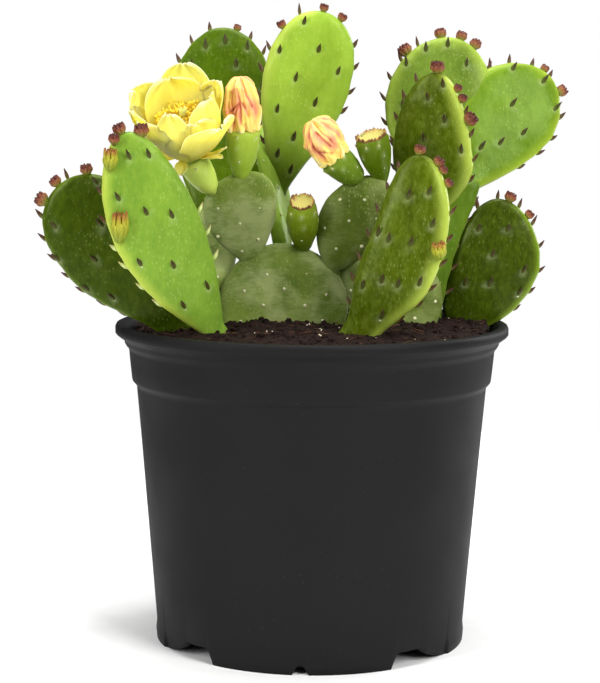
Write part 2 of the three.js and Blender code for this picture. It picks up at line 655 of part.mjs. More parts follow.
function potShell() {
  const lipFoot = POT_HEIGHT - LIP_HEIGHT;
  const inner = COLLAR_TOP_RADIUS - WALL;
  const outline = [
    [RIM_RADIUS - LIP_WIDTH, POT_HEIGHT - 0.3], [RIM_RADIUS - LIP_WIDTH + 1, POT_HEIGHT],
    [RIM_RADIUS - 1, POT_HEIGHT], [RIM_RADIUS, POT_HEIGHT - 1], [RIM_RADIUS, lipFoot + 0.4],
    [81, lipFoot - 2.4], [81, lipFoot - 3.6], [COLLAR_TOP_RADIUS, 127],
    [COLLAR_FOOT_RADIUS, COLLAR_FOOT], [77.2, 112.7], [BODY_TOP_RADIUS, BODY_TOP],
    [BODY_FOOT_RADIUS, FLOOR_LEVEL], [FOOT_RADIUS, 0], [FOOT_RADIUS - FOOT_WIDTH, 0],
    [FOOT_RADIUS - FOOT_WIDTH + 0.6, FLOOR_LEVEL], [0, FLOOR_LEVEL], [0, FLOOR_LEVEL + WALL],
    [BODY_FOOT_RADIUS - WALL, FLOOR_LEVEL + WALL], [BODY_TOP_RADIUS - WALL, BODY_TOP],
    [COLLAR_FOOT_RADIUS - WALL, COLLAR_FOOT], [inner, lipFoot - 3], [inner, lipFoot],
    [RIM_RADIUS - LIP_WIDTH, POT_HEIGHT - 0.3],
  ].reverse().map(([x, y]) => new THREE.Vector2(x, y));
  return toSolid(new THREE.LatheGeometry(outline, POT_SIDES).rotateX(Math.PI / 2));
}

// A prism drawn in the upright plane that faces a foot, pushed outward through the wall.
function radialCut(shape, degrees, depth) {
  const prism = new THREE.ExtrudeGeometry(shape, { depth, bevelEnabled: false, curveSegments: 3 });
  prism.rotateX(Math.PI / 2).translate(0, -FOOT_RADIUS + depth / 2, 0).rotateZ(radians(degrees));
  return toSolid(prism);
}

// Between the flush front skirt and the rounded side foot the wall ends above the ground.
function footGap(mirror) {
  const shape = new THREE.Shape();
  shape.moveTo(-16.5 * mirror, -1);
  shape.lineTo(-16.2 * mirror, 0);
  shape.lineTo(-13.7 * mirror, FLOOR_LEVEL - 0.4);
  shape.lineTo(-1.5 * mirror, FLOOR_LEVEL - 0.4);
  shape.quadraticCurveTo(4 * mirror, 1.2, 17.3 * mirror, 0);
  shape.lineTo(17.3 * mirror, -1);
  shape.closePath();
  return shape;
}

function notch() {
  const shape = new THREE.Shape();
  shape.moveTo(-3.7, -1);
  shape.lineTo(-3.5, 0);
  shape.lineTo(-1.3, 3.8);
  shape.lineTo(1.3, 3.8);
  shape.lineTo(3.5, 0);
  shape.lineTo(3.7, -1);
  shape.closePath();
  return shape;
}

function drainHoles() {
  const holes = [];
  const { radius, count } = DRAIN;
  for (let i = 0; i <= count; i += 1) {
    const reach = i < count ? DRAIN.reach : 0;
    const angle = (i / count) * 2 * Math.PI;
    holes.push(toSolid(new THREE.CylinderGeometry(radius, radius, 4 * WALL, 9).rotateX(Math.PI / 2)
      .translate(reach * Math.cos(angle), reach * Math.sin(angle), FLOOR_LEVEL + WALL / 2)));
  }
  return joined(holes);
}

// The two side feet stand about a millimetre proud of the wall, with a rounded foot.
function sideFoot(degrees) {
  const span = radians(SIDE_FOOT.span);
  const { proud, edge } = SIDE_FOOT;
  const ring = new THREE.Shape();
  ring.absarc(0, 0, FOOT_RADIUS + proud, -span, span, false);
  ring.absarc(0, 0, FOOT_RADIUS - FOOT_WIDTH - proud / 2, span, -span, true);
  ring.closePath();
  const foot = new THREE.ExtrudeGeometry(ring, {
    depth: FLOOR_LEVEL - 2 * edge, bevelEnabled: true, bevelSize: edge, bevelThickness: edge,
    bevelSegments: 1, curveSegments: 5,
  });
  return toSolid(foot.translate(0, 0, edge).rotateZ(radians(degrees)));
}

function potSolid() {
  let pot = potShell();
  const { turn, depth } = FOOT_CUT;
  for (const front of [0, 180]) {
    pot = pot.subtract(radialCut(footGap(1), front + turn, depth));
    pot = pot.subtract(radialCut(footGap(-1), front - turn, depth));
    pot = pot.subtract(radialCut(notch(), front, depth));
  }
  pot = pot.add(sideFoot(0)).add(sideFoot(180)).subtract(drainHoles());
  return toSolid(toGeometry(pot).rotateZ(radians(POT_TURN)));
}

// ---------------------------------------------------------------- the object

const cactus = new THREE.Group();

function place(parent, name, solid, colour, roughness) {
  const material = new THREE.MeshStandardMaterial({ color: colour, roughness, metalness: 0 });
  const mesh = new THREE.Mesh(toGeometry(solid), material);
  mesh.name = name;
  parent.add(mesh);
}

const plant = new THREE.Group();
const pot = new THREE.Group();
cactus.add(pot, plant);

// Pieces are set in order, and each is cut clear of those already there by the touching gap.
const set = [];
function setClear(name, solid, larger, colour) {
  const box = solid.boundingBox();
  const overlaps = (other) => [0, 1, 2].every(
    (i) => other.box.min[i] < box.max[i] && other.box.max[i] > box.min[i],
  );
  let clear = solid;
  for (const other of set.filter(overlaps)) clear = clear.subtract(other.larger);
  set.push({ larger, box: larger.boundingBox() });
  place(plant, name, largest(clear), colour, SKIN_ROUGHNESS);
}

for (const [name, pad] of Object.entries(PADS)) {
  const spots = pad.rows ? leafSpots(pad) : [];
  setClear(name, padSolid(pad, spots, 0), padSolid(pad, spots, TOUCH_GAP), pad.skin);
}
for (const [name, ovary] of Object.entries(OVARIES)) {
  setClear(name, ovarySolid(ovary, 0), ovarySolid(ovary, TOUCH_GAP), ovary.skin);
}
setClear('flower_petals', petalsSolid(0), petalsSolid(TOUCH_GAP), FLOWER.skin);
const stamens = stamensSolid();
setClear('flower_stamens', stamens, stamens, STAMENS.skin);
for (const [name, flower] of Object.entries(WITHERED)) {
  setClear(name, witheredSolid(flower, 0), witheredSolid(flower, TOUCH_GAP), flower.skin);
}

const sunken = set.filter(({ box }) => box.min[2] < POT_HEIGHT + LIP_HEIGHT);
const holes = joined(sunken.map(({ larger }) => larger));
place(pot, 'soil', largest(soilSolid().subtract(holes)), SOIL_COLOUR, SOIL_ROUGHNESS);
place(pot, 'pot', potSolid(), POT_COLOUR, POT_ROUGHNESS);

export default cactus;
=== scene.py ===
"""A paddle cactus (prickly pear) in a round black nursery pot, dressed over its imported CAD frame.

Every length in the tables is in millimetres, in the frame's own axes: +Z up, the viewer looks
along +Y, and the origin is the middle of the pot's footprint. Blender works in metres.
"""

import logging
import math
import random
from dataclasses import dataclass
from enum import Enum
from typing import ClassVar, Iterable, Sequence

import bmesh
import bpy
from mathutils import Matrix, Vector, noise
from mathutils.kdtree import KDTree

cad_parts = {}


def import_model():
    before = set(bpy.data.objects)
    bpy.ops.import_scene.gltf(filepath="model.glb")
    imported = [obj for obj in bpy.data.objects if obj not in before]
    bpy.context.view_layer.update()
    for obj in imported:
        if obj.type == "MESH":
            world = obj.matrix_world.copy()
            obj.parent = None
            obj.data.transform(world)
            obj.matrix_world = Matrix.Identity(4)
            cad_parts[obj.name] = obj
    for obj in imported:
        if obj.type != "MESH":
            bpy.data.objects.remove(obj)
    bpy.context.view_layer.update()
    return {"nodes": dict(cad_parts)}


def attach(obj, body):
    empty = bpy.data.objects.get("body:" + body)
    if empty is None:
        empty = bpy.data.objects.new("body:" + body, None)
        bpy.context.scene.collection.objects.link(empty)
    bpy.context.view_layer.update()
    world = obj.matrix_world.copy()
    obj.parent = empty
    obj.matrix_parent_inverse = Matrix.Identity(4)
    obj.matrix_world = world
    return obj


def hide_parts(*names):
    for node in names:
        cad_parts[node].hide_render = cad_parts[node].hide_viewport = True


LOG = logging.getLogger("cactus")
MM = 0.001
# the one seeded source of scatter, drawn from in the order in which the pieces are built
CHANCE = random.Random(20)
# the power of a pad's cross section: 2 is an ellipse, more is squarer
SECTION = 2.9
# a Mix node's setting, which makes its inputs 6 and 7 and its output 2 the colours
RGBA = {"data_type": "RGBA"}

Spot = tuple[Vector, Vector]
Table = dict[str, tuple[str, dict]]


# ------------------------------------------------------------------ small tools


def linear(colour: str) -> tuple[float, float, float, float]:
    """Turn an sRGB hex colour into linear RGBA.

    Args:
        colour: Six hex digits after a '#'.

    Returns:
        The colour as four linear floats, alpha 1.
    """
    channels = [int(colour[i : i + 2], 16) / 255 for i in (1, 3, 5)]
    light = [c / 12.92 if c <= 0.04045 else ((c + 0.055) / 1.055) ** 2.4 for c in channels]
    return (*light, 1.0)


def add_node(tree: bpy.types.NodeTree, kind: str, values: dict) -> bpy.types.Node:
    """Add one shader node with its settings and links.

    Args:
        tree: The material's node tree.
        kind: The node's type, without its leading 'ShaderNode'.
        values: Sockets by name or number, and settings by name, each to its value: another node's
            output to link, a '#' colour or a plain value. 'stops' gives a ramp's (place, colour) pairs.

    Returns:
        The new node.
    """
    node = tree.nodes.new("ShaderNode" + kind)
    for name, value in values.items():
        if isinstance(value, str) and value.startswith("#"):
            value = linear(value)
        if name == "stops":
            ramp = node.color_ramp.elements
            while len(ramp) < len(value):
                ramp.new(0.5)
            for element, (place, colour) in zip(ramp, value):
                element.position = place
                element.color = linear(colour)
        elif isinstance(value, bpy.types.NodeSocket):
            tree.links.new(value, node.inputs[name])
        elif isinstance(name, int) or name in node.inputs:
            node.inputs[name].default_value = value
        else:
            setattr(node, name, value)
    return node


def place_mesh(bm: bmesh.types.BMesh, name: str, finish: "Finish", smooth: bool = True) -> bpy.types.Object:
    """Turn a finished bmesh, drawn in millimetres, into an object at the origin.

    Args:
        bm: The mesh; it is freed.
        name: The object's name.
        finish: Its finish.
        smooth: Whether its faces are shaded smooth.

    Returns:
        The new object, its place in its mesh.
    """
    bmesh.ops.scale(bm, vec=(MM, MM, MM), verts=bm.verts)
    mesh = bpy.data.meshes.new(name)
    bm.to_mesh(mesh)
    bm.free()
    for polygon in mesh.polygons:
        polygon.use_smooth = smooth
    mesh.materials.append(finish.material())
    piece = bpy.data.objects.new(name, mesh)
    bpy.context.scene.collection.objects.link(piece)
    return piece


def settle(
    bm: bmesh.types.BMesh, name: str, finish: "Finish", slot: str, *nodes: str, smooth: bool = True
) -> bpy.types.Object:
    """Make a piece of a finished bmesh, ride it on the root body and hide the CAD nodes that it stands for.

    Args:
        bm: The mesh in millimetres; it is freed.
        name: The piece's name.
        finish: Its finish.
        slot: The record's material slot; not used.
        *nodes: CAD nodes that the piece replaces.
        smooth: Whether its faces are shaded smooth.

    Returns:
        The piece.
    """
    piece = place_mesh(bm, name, finish, smooth)
    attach(piece, "root")
    if nodes:
        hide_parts(*nodes)
    LOG.info("%s: %d faces", name, len(piece.data.polygons))
    return piece


def orient(direction: Vector, spin: float = 0.0) -> Matrix:
    """Turn +Z to a direction, with a spin of so many radians about +Z first."""
    turn = direction.to_track_quat("Z", "Y").to_matrix().to_4x4()
    return turn @ Matrix.Rotation(spin, 4, "Z")


def signed_power(value: float, power: float) -> float:
    """Raise a number's size to a power and keep its sign."""
    return math.copysign(abs(value) ** power, value)


def gathered(value: float, low: float = 0.0, high: float = 1.0) -> float:
    """Clamp a number between two others."""
    return max(low, min(high, value))


def fade(gap: float, reach: float) -> float:
    """1 at a gap of nothing, falling away as a bell that is 'reach' wide."""
    return math.exp(-((gap / reach) ** 2))


def near_tree(places: Sequence[Vector]) -> KDTree:
    """A search tree over some places."""
    tree = KDTree(max(len(places), 1))
    for i, place in enumerate(places):
        tree.insert(place, i)
    tree.balance()
    return tree


def spin_profile(bm: bmesh.types.BMesh, profile: Sequence[tuple[float, float]], steps: int) -> None:
    """Spin an outline of (radius, height) pairs about +Z.

    Args:
        bm: The mesh that it is added to.
        profile: The outline.
        steps: How many sides the turned shape gets.
    """
    verts = [bm.verts.new((radius, 0.0, height)) for radius, height in profile]
    edges = [bm.edges.new(pair) for pair in zip(verts, verts[1:])]
    bmesh.ops.spin(
        bm, geom=verts + edges, axis=(0, 0, 1), cent=(0, 0, 0), angle=2 * math.pi, steps=steps, use_merge=True
    )
    bmesh.ops.remove_doubles(bm, verts=bm.verts, dist=0.002)
    bmesh.ops.recalc_face_normals(bm, faces=bm.faces)


class Flesh:
    """A mesh of small soft parts, in millimetres, coloured along its 'tip' attribute."""

    # each ring of a bud's scales: how many, where they start, how far out, how long
    BUD_RINGS: ClassVar[tuple] = ((8, -0.14, 0.86, 0.7), (8, 0.06, 0.78, 0.84), (5, 0.3, 0.4, 0.64))

    def __init__(self) -> None:
        """Start with nothing in it."""
        self.bm = bmesh.new()
        self.tip = self.bm.verts.layers.float.new("tip")

    def ball(self, sides: int, rings: int) -> list[tuple]:
        """Add a round blank.

        Args:
            sides: Its sides round.
            rings: Its rings.

        Returns:
            Each vertex, its x and y, its share of the height and its distance from the axis.
        """
        made = bmesh.ops.create_uvsphere(self.bm, u_segments=sides, v_segments=rings, radius=1.0)
        return [(v, v.co.x, v.co.y, (v.co.z + 1) / 2, math.hypot(v.co.x, v.co.y)) for v in made["verts"]]

    def cushion(self, place: Vector, outward: Vector, radius: float) -> None:
        """Add an areole: a low felted cushion.

        Args:
            place: Its middle, on the skin.
            outward: The way that it faces.
            radius: Its radius.
        """
        matrix = Matrix.Translation(place) @ orient(outward) @ Matrix.Diagonal((1.0, 1.0, 0.55, 1.0))
        made = bmesh.ops.create_icosphere(self.bm, subdivisions=1, radius=radius, matrix=matrix)
        for vertex in made["verts"]:
            vertex[self.tip] = gathered((vertex.co - place).dot(outward) / radius)

    def leaf(self, place: Vector, outward: Vector, length: float, radius: float, upward: Vector) -> list:
        """Add a small fleshy leaf: a plump lobe with a blunt tip that bows towards the pad's far end.

        Args:
            place: Where it grows from.
            outward: The way that it points.
            length: Its length.
            radius: Its radius where it is thickest.
            upward: The way that its point bows.

        Returns:
            Its vertices.
        """
        turn = orient(outward)
        blank = self.ball(8, 7)
        for vertex, x, y, up, flat in blank:
            girth = radius * (0.8 + 0.3 * math.sin(math.pi * min(up * 1.3, 1.0))) * (1 - up**3.2) ** 0.6 + 0.05
            scale = girth * (flat**0.4) / flat if flat > 1e-5 else 0.0
            local = Vector((x * scale, y * scale, up * length - 0.5))
            vertex[self.tip] = up
            vertex.co = place + turn @ local + upward * (0.24 * length * up * up)
        return [row[0] for row in blank]

    def bud(self, place: Vector, outward: Vector, radius: float, tall: float) -> None:
        """Add a flower bud: a small barrel wrapped in plump upright scales, flat on top like a crown.

        Args:
            place: Where it grows from.
            outward: Its axis.
            radius: Its radius.
            tall: How much taller than a round bud it is.
        """
        turn = orient(outward, CHANCE.uniform(0, math.pi))
        height = radius * 1.75 * tall
        for vertex, x, y, up, flat in self.ball(14, 10):
            scale = radius * (0.45 + 0.2 * min(up * 2, 1.0)) * (flat**0.4) / flat if flat > 1e-5 else 0.0
            vertex[self.tip] = 0.75 * up
            vertex.co = place + turn @ Vector((x * scale, y * scale, up * (height * 0.8 + 1.2) - 1.2))
        for ring, (count, rise, lean, share) in enumerate(self.BUD_RINGS):
            for i in range(count):
                angle = (i + 0.5 * (ring % 2)) / count * 2 * math.pi + CHANCE.uniform(-0.1, 0.1)
                side = Vector((math.cos(angle), math.sin(angle), 0.0)) * lean
                length = height * share * CHANCE.uniform(0.92, 1.08)
                start = Vector((0, 0, height * rise))
                self.scale_leaf(Matrix.Translation(place) @ turn, start, side, radius, length, height)

    def scale_leaf(
        self, frame: Matrix, start: Vector, side: Vector, radius: float, length: float, height: float
    ) -> None:
        """Add one upright scale of a bud: a plump lobe with a blunt tip that follows the barrel.

        Args:
            frame: The bud's place and turn.
            start: Where the scale grows from, in the bud's own axes.
            side: Outward there, as long as the scale's share of the bud's radius.
            radius: The bud's radius.
            length: The scale's length.
            height: The bud's height, which its colour follows.
        """
        tangent = Vector((-side.y, side.x, 0.0)).normalized()
        for vertex, x, y, up, flat in self.ball(6, 7):
            girth = 0.42 * radius * side.length * flat**-0.35 if flat > 1e-4 else 0.0
            level = start.z + up * length
            barrel = 0.5 + 0.5 * math.sin(math.pi / 2 * gathered(level / (0.45 * height)))
            local = start + tangent * (x * girth) + side.normalized() * (y * girth * 0.8)
            local += side * (radius * barrel) + Vector((0, 0, up * length))
            vertex[self.tip] = gathered(local.z / height)
            vertex.co = frame @ local


# ------------------------------------------------------------------ finishes


class Finish:
    """A finish, made from a table of its shader nodes.

    The table gives each node a label, its kind and its values. A value such as "grain.Fac" links
    the output of the node with that label, by name or number. The Principled node is "shader".
    """

    name: str
    made: ClassVar[dict[str, bpy.types.Material]] = {}

    def nodes(self) -> Table:
        """The table of nodes."""
        raise NotImplementedError

    def material(self) -> bpy.types.Material:
        """The finish's material, made the first time that it is asked for.

        Returns:
            The material.
        """
        if self.name not in self.made:
            material = bpy.data.materials.new(self.name)
            material.use_nodes = True
            tree = material.node_tree
            tree.nodes.clear()
            nodes: dict[str, bpy.types.Node] = {}
            for label, (kind, values) in self.nodes().items():
                linked = dict(values)
                for key, value in values.items():
                    if isinstance(value, str) and "." in value:
                        source, output = value.split(".")
                        linked[key] = nodes[source].outputs[int(output) if output.isdigit() else output]
                nodes[label] = add_node(tree, kind, linked)
            add_node(tree, "OutputMaterial", {"Surface": nodes["shader"].outputs["BSDF"]})
            self.made[self.name] = material
        return self.made[self.name]


@dataclass(frozen=True)
class CactusSkin(Finish):
    """Living cactus skin: a waxy cuticle over soft green flesh, so it is glossy but deep.

    Colours are sRGB. 'rim' is the paler margin, partly the margin's own paler green and partly a
    painted highlight where the rounded margin catches the light, and 'rim_width' how many millimetres
    it reaches in, 'shade' the darker blotches, 'speck' how strong the pale flecks are, 'mottle' how
    strong the fine unevenness is, and 'bloom' how much powdery grey wax lies on it, as on old pads.
    """

    name: str
    face: str
    shade: str
    rim: str
    rim_share: float = 0.75
    rim_width: float = 6.0
    speck: float = 0.3
    mottle: float = 0.12
    bloom: float = 0.0
    bloom_colour: str = "#96a068"
    roughness: float = 0.36
    coat: float = 0.05

    def nodes(self) -> Table:
        """Blotches, rim (partly painted highlight), flecks, uneven flesh, painted neck shade, bloom and areole
        marks (partly painted highlight), and then the relief.

        Returns:
            The table of nodes.
        """
        low, high = self.roughness - 0.05, self.roughness + 0.09
        table = {
            "at": ("TexCoord", {}),
            # soft blotches about 14 mm across, drawn out upward as the pad grew
            "grown": ("Mapping", {"Vector": "at.Object", "Scale": (1.0, 1.0, 0.5)}),
            "blotch": ("TexNoise", {"Vector": "grown.Vector", "Scale": 70.0, "Detail": 3.0, "Roughness": 0.5}),
            "cloudy": ("MapRange", {"Value": "blotch.Fac", "From Min": 0.36, "From Max": 0.66}),
            "tone": ("Mix", RGBA | {"Factor": "cloudy.Result", 6: self.face, 7: self.shade}),
            # the pale margin: partly its own paler green, partly a painted highlight where it catches the light
            "rim": ("Attribute", {"attribute_name": "rim"}),
            "outer": ("Math", {"operation": "POWER", 0: "rim.Fac", 1: 1.9}),
            "edge": ("Math", {"operation": "MULTIPLY", 0: "outer.0", 1: self.rim_share}),
            "rimmed": ("Mix", RGBA | {"Factor": "edge.0", 6: "tone.2", 7: self.rim}),
            # pale flecks some 2 mm apart, longer than wide, and only here and there
            "cells": ("TexVoronoi", {"Vector": "grown.Vector", "Scale": 780.0, "Randomness": 1.0}),
            "fleck": (
                "MapRange", {
                    "Value": "cells.Distance", "From Min": 0.06, "From Max": 0.3, "To Min": self.speck,
                    "To Max": 0.0,
                },
            ),
            "patch": ("TexNoise", {"Vector": "at.Object", "Scale": 60.0, "Detail": 2.0}),
            "patchy": ("MapRange", {"Value": "patch.Fac", "From Min": 0.4, "From Max": 0.6}),
            "sparse": ("Math", {"operation": "MULTIPLY", 0: "fleck.Result", 1: "patchy.Result"}),
            "speckled": ("Mix", RGBA | {"Factor": "sparse.0", 6: "rimmed.2", 7: "#c6da86"}),
            # the uneven green of the flesh, a millimetre or two across
            "flesh": ("TexNoise", {"Vector": "grown.Vector", "Scale": 520.0, "Detail": 4.0, "Roughness": 0.7}),
            "fleshy": (
                "MapRange", {"Value": "flesh.Fac", "From Min": 0.4, "From Max": 0.7, "To Max": self.mottle}
            ),
            "mottled": ("Mix", RGBA | {"Factor": "fleshy.Result", 6: "speckled.2", 7: self.rim}),
            # painted shade: darker green where the pad runs down into its neck, in the shade of the pads round
            # it
            "neck": ("Attribute", {"attribute_name": "neck"}),
            "necked": ("Mix", RGBA | {"Factor": "neck.Fac", 6: "mottled.2", 7: "#3c5000"}),
        }
        if self.bloom:
            table |= {
                "cloud": ("TexNoise", {"Vector": "at.Object", "Scale": 75.0, "Detail": 2.0}),
                # rubbed streaks, about 0.7 mm wide, that run sideways
                "rubbed": ("Mapping", {"Vector": "at.Object", "Scale": (0.35, 0.6, 1.0)}),
                "streak": (
                    "TexNoise", {"Vector": "rubbed.Vector", "Scale": 900.0, "Detail": 5.0, "Roughness": 0.75}
                ),
                "film": ("Math", {"operation": "MULTIPLY_ADD", 0: "streak.Fac", 1: 0.55, 2: "cloud.Fac"}),
                "cover": (
                    "MapRange", {"Value": "film.0", "From Min": 0.64, "From Max": 0.92, "To Max": self.bloom}
                ),
                "waxed": ("Mix", RGBA | {"Factor": "cover.Result", 6: "necked.2", 7: self.bloom_colour}),
            }
        return table | {
            # a pale halo round each areole: partly its pale felt, partly a painted highlight beside it
            "mark": ("Attribute", {"attribute_name": "mark"}),
            "halo": ("Math", {"operation": "MULTIPLY", 0: "mark.Fac", 1: 0.2}),
            "marked": (
                "Mix", RGBA | {"Factor": "halo.0", 6: "waxed.2" if self.bloom else "necked.2", 7: "#dfe7b4"}
            ),
            "dull": (
                "MapRange",
                {"Value": "blotch.Fac", "From Min": 0.3, "From Max": 0.7, "To Min": low, "To Max": high},
            ),
            # the skin's grain is under a millimetre; the slight unevenness over it is about 5 mm
            "grain": ("TexNoise", {"Vector": "at.Object", "Scale": 1400.0, "Detail": 2.0}),
            "uneven": ("TexNoise", {"Vector": "at.Object", "Scale": 190.0, "Detail": 2.0}),
            "soft": ("Bump", {"Height": "uneven.Fac", "Strength": 0.3, "Distance": 0.0012}),
            "fine": (
                "Bump", {"Height": "grain.Fac", "Strength": 0.12, "Distance": 0.0003, "Normal": "soft.Normal"}
            ),
            "shader": (
                "BsdfPrincipled",
                {
                    "Base Color": "marked.2", "Roughness": "dull.Result", "Normal": "fine.Normal",
                    "IOR": 1.45, "Specular IOR Level": 0.22, "Specular Tint": (0.75, 0.9, 0.3, 1.0),
                    "Coat Weight": self.coat, "Coat Roughness": 0.22,
                    "Subsurface Weight": 0.1, "Subsurface Radius": (0.6, 1.0, 0.15), "Subsurface Scale": 0.0015,
                },
            ),
        }


@dataclass(frozen=True)
class TippedFlesh(Finish):
    """Fleshy leaves, bud scales and petals whose colour runs along them by the 'tip' attribute."""

    name: str
    stops: tuple[tuple[float, str], ...]
    roughness: float = 0.42
    mottle: float = 0.3
    subsurface: float = 0.15
    scale: float = 900.0

    def nodes(self) -> Table:
        """A ramp along the part, unsettled by a noise about a millimetre across.

        Returns:
            The table of nodes.
        """
        return {
            "at": ("TexCoord", {}),
            "run": ("Attribute", {"attribute_name": "tip"}),
            "wander": ("TexNoise", {"Vector": "at.Object", "Scale": self.scale, "Detail": 3.0}),
            "centred": ("Math", {"operation": "SUBTRACT", 0: "wander.Fac", 1: 0.5}),
            "shifted": ("Math", {"operation": "MULTIPLY_ADD", 0: "centred.0", 1: self.mottle, 2: "run.Fac"}),
            "ramp": ("ValToRGB", {"Fac": "shifted.0", "stops": self.stops}),
            "bump": ("Bump", {"Height": "wander.Fac", "Strength": 0.3, "Distance": 0.0003}),
            "shader": (
                "BsdfPrincipled",
                {
                    "Base Color": "ramp.Color", "Roughness": self.roughness, "Normal": "bump.Normal",
                    "IOR": 1.42, "Specular IOR Level": 0.25, "Subsurface Weight": self.subsurface,
                    "Subsurface Radius": (1.0, 0.7, 0.2), "Subsurface Scale": 0.001,
                },
            ),
        }


@dataclass(frozen=True)
class Petal(Finish):
    """Satin flower petal: thin, softly lit through, with fine veins that run along it.

    The petal's own UV map gives the place across (U) and along (V), and 'edge' runs from its
    heart out to its thin pale rim.
    """

    name: str
    heart: str
    body: str
    edge: str
    vein: str

    def nodes(self) -> Table:
        """A ramp from heart to edge, with veins drawn over it.

        Returns:
            The table of nodes.
        """
        stops = ((0.0, self.heart), (0.45, self.body), (0.75, self.body), (1.0, self.edge))
        return {
            "place": ("UVMap", {"uv_map": "petal"}),
            "out": ("Attribute", {"attribute_name": "edge"}),
            "along": ("ValToRGB", {"Fac": "out.Fac", "stops": stops}),
            # veins about 0.6 mm apart across a 20 mm petal
            "across": ("Mapping", {"Vector": "place.UV", "Scale": (34.0, 1.6, 1.0)}),
            "vein": ("TexNoise", {"Vector": "across.Vector", "Scale": 1.0, "Detail": 3.0}),
            "drawn": ("MapRange", {"Value": "vein.Fac", "From Min": 0.42, "From Max": 0.7, "To Max": 0.5}),
            "veined": ("Mix", RGBA | {"Factor": "drawn.Result", 6: "along.Color", 7: self.vein}),
            "bump": ("Bump", {"Height": "vein.Fac", "Strength": 0.4, "Distance": 0.0006}),
            "shader": (
                "BsdfPrincipled",
                {
                    "Base Color": "veined.2", "Roughness": 0.5, "Normal": "bump.Normal",
                    "IOR": 1.4, "Specular IOR Level": 0.2, "Subsurface Weight": 0.7,
                    "Subsurface Radius": (1.0, 0.95, 0.45), "Subsurface Scale": 0.0025,
                },
            ),
        }


@dataclass(frozen=True)
class Peat(Finish):
    """Moist peat: nearly black crumbs with brown ones between, matt, and rough at every scale."""

    name: str

    def nodes(self) -> Table:
        """Crumbs two or three millimetres across, in colour and in relief.

        Returns:
            The table of nodes.
        """
        stops = ((0.3, "#100908"), (0.52, "#1f130f"), (0.7, "#33201a"), (0.82, "#5a4032"))
        return {
            "at": ("TexCoord", {}),
            "clod": ("TexNoise", {"Vector": "at.Object", "Scale": 380.0, "Detail": 6.0, "Roughness": 0.7}),
            "colour": ("ValToRGB", {"Fac": "clod.Fac", "stops": stops}),
            "bump": ("Bump", {"Height": "clod.Fac", "Strength": 0.9, "Distance": 0.0012}),
            "shader": (
                "BsdfPrincipled",
                {
                    "Base Color": "colour.Color", "Roughness": 0.88, "Normal": "bump.Normal",
                    "Specular IOR Level": 0.12,
                },
            ),
        }


@dataclass(frozen=True)
class MouldedPlastic(Finish):
    """Injection-moulded black polypropylene: satin, faintly rippled, with lint caught on it."""

    name: str

    def nodes(self) -> Table:
        """Ripples about 35 mm long, a grain under a millimetre, and specks of lint.

        Returns:
            The table of nodes.
        """
        return {
            "at": ("TexCoord", {}),
            "ripple": ("TexNoise", {"Vector": "at.Object", "Scale": 28.0, "Detail": 2.0}),
            "grain": ("TexNoise", {"Vector": "at.Object", "Scale": 1500.0, "Detail": 2.0}),
            "lint": ("TexVoronoi", {"Vector": "at.Object", "Scale": 260.0}),
            "fleck": (
                "MapRange",
                {"Value": "lint.Distance", "From Min": 0.03, "From Max": 0.08, "To Min": 0.4, "To Max": 0.0},
            ),
            "colour": ("Mix", RGBA | {"Factor": "fleck.Result", 6: "#181718", 7: "#4a494b"}),
            "satin": (
                "MapRange",
                {"Value": "ripple.Fac", "From Min": 0.3, "From Max": 0.7, "To Min": 0.5, "To Max": 0.62},
            ),
            "wave": ("Bump", {"Height": "ripple.Fac", "Strength": 0.12, "Distance": 0.002}),
            "fine": (
                "Bump", {"Height": "grain.Fac", "Strength": 0.15, "Distance": 0.0002, "Normal": "wave.Normal"}
            ),
            "shader": (
                "BsdfPrincipled",
                {
                    "Base Color": "colour.2", "Roughness": "satin.Result", "Normal": "fine.Normal",
                    "IOR": 1.49, "Specular IOR Level": 0.1,
                },
            ),
        }


@dataclass(frozen=True)
class Paper(Finish):
    """A pale paper sweep: matt, and hardly uneven."""

    name: str

    def nodes(self) -> Table:
        """Two near whites.

        Returns:
            The table of nodes.
        """
        return {
            "at": ("TexCoord", {}),
            "grain": ("TexNoise", {"Vector": "at.Object", "Scale": 60.0, "Detail": 4.0}),
            "tone": ("ValToRGB", {"Fac": "grain.Fac", "stops": ((0.3, "#f4f4f3"), (0.7, "#f8f8f7"))}),
            "shader": ("BsdfPrincipled", {"Base Color": "tone.Color", "Roughness": 0.9}),
        }


OLD_WAX = {"bloom": 0.8, "roughness": 0.5, "coat": 0.03}


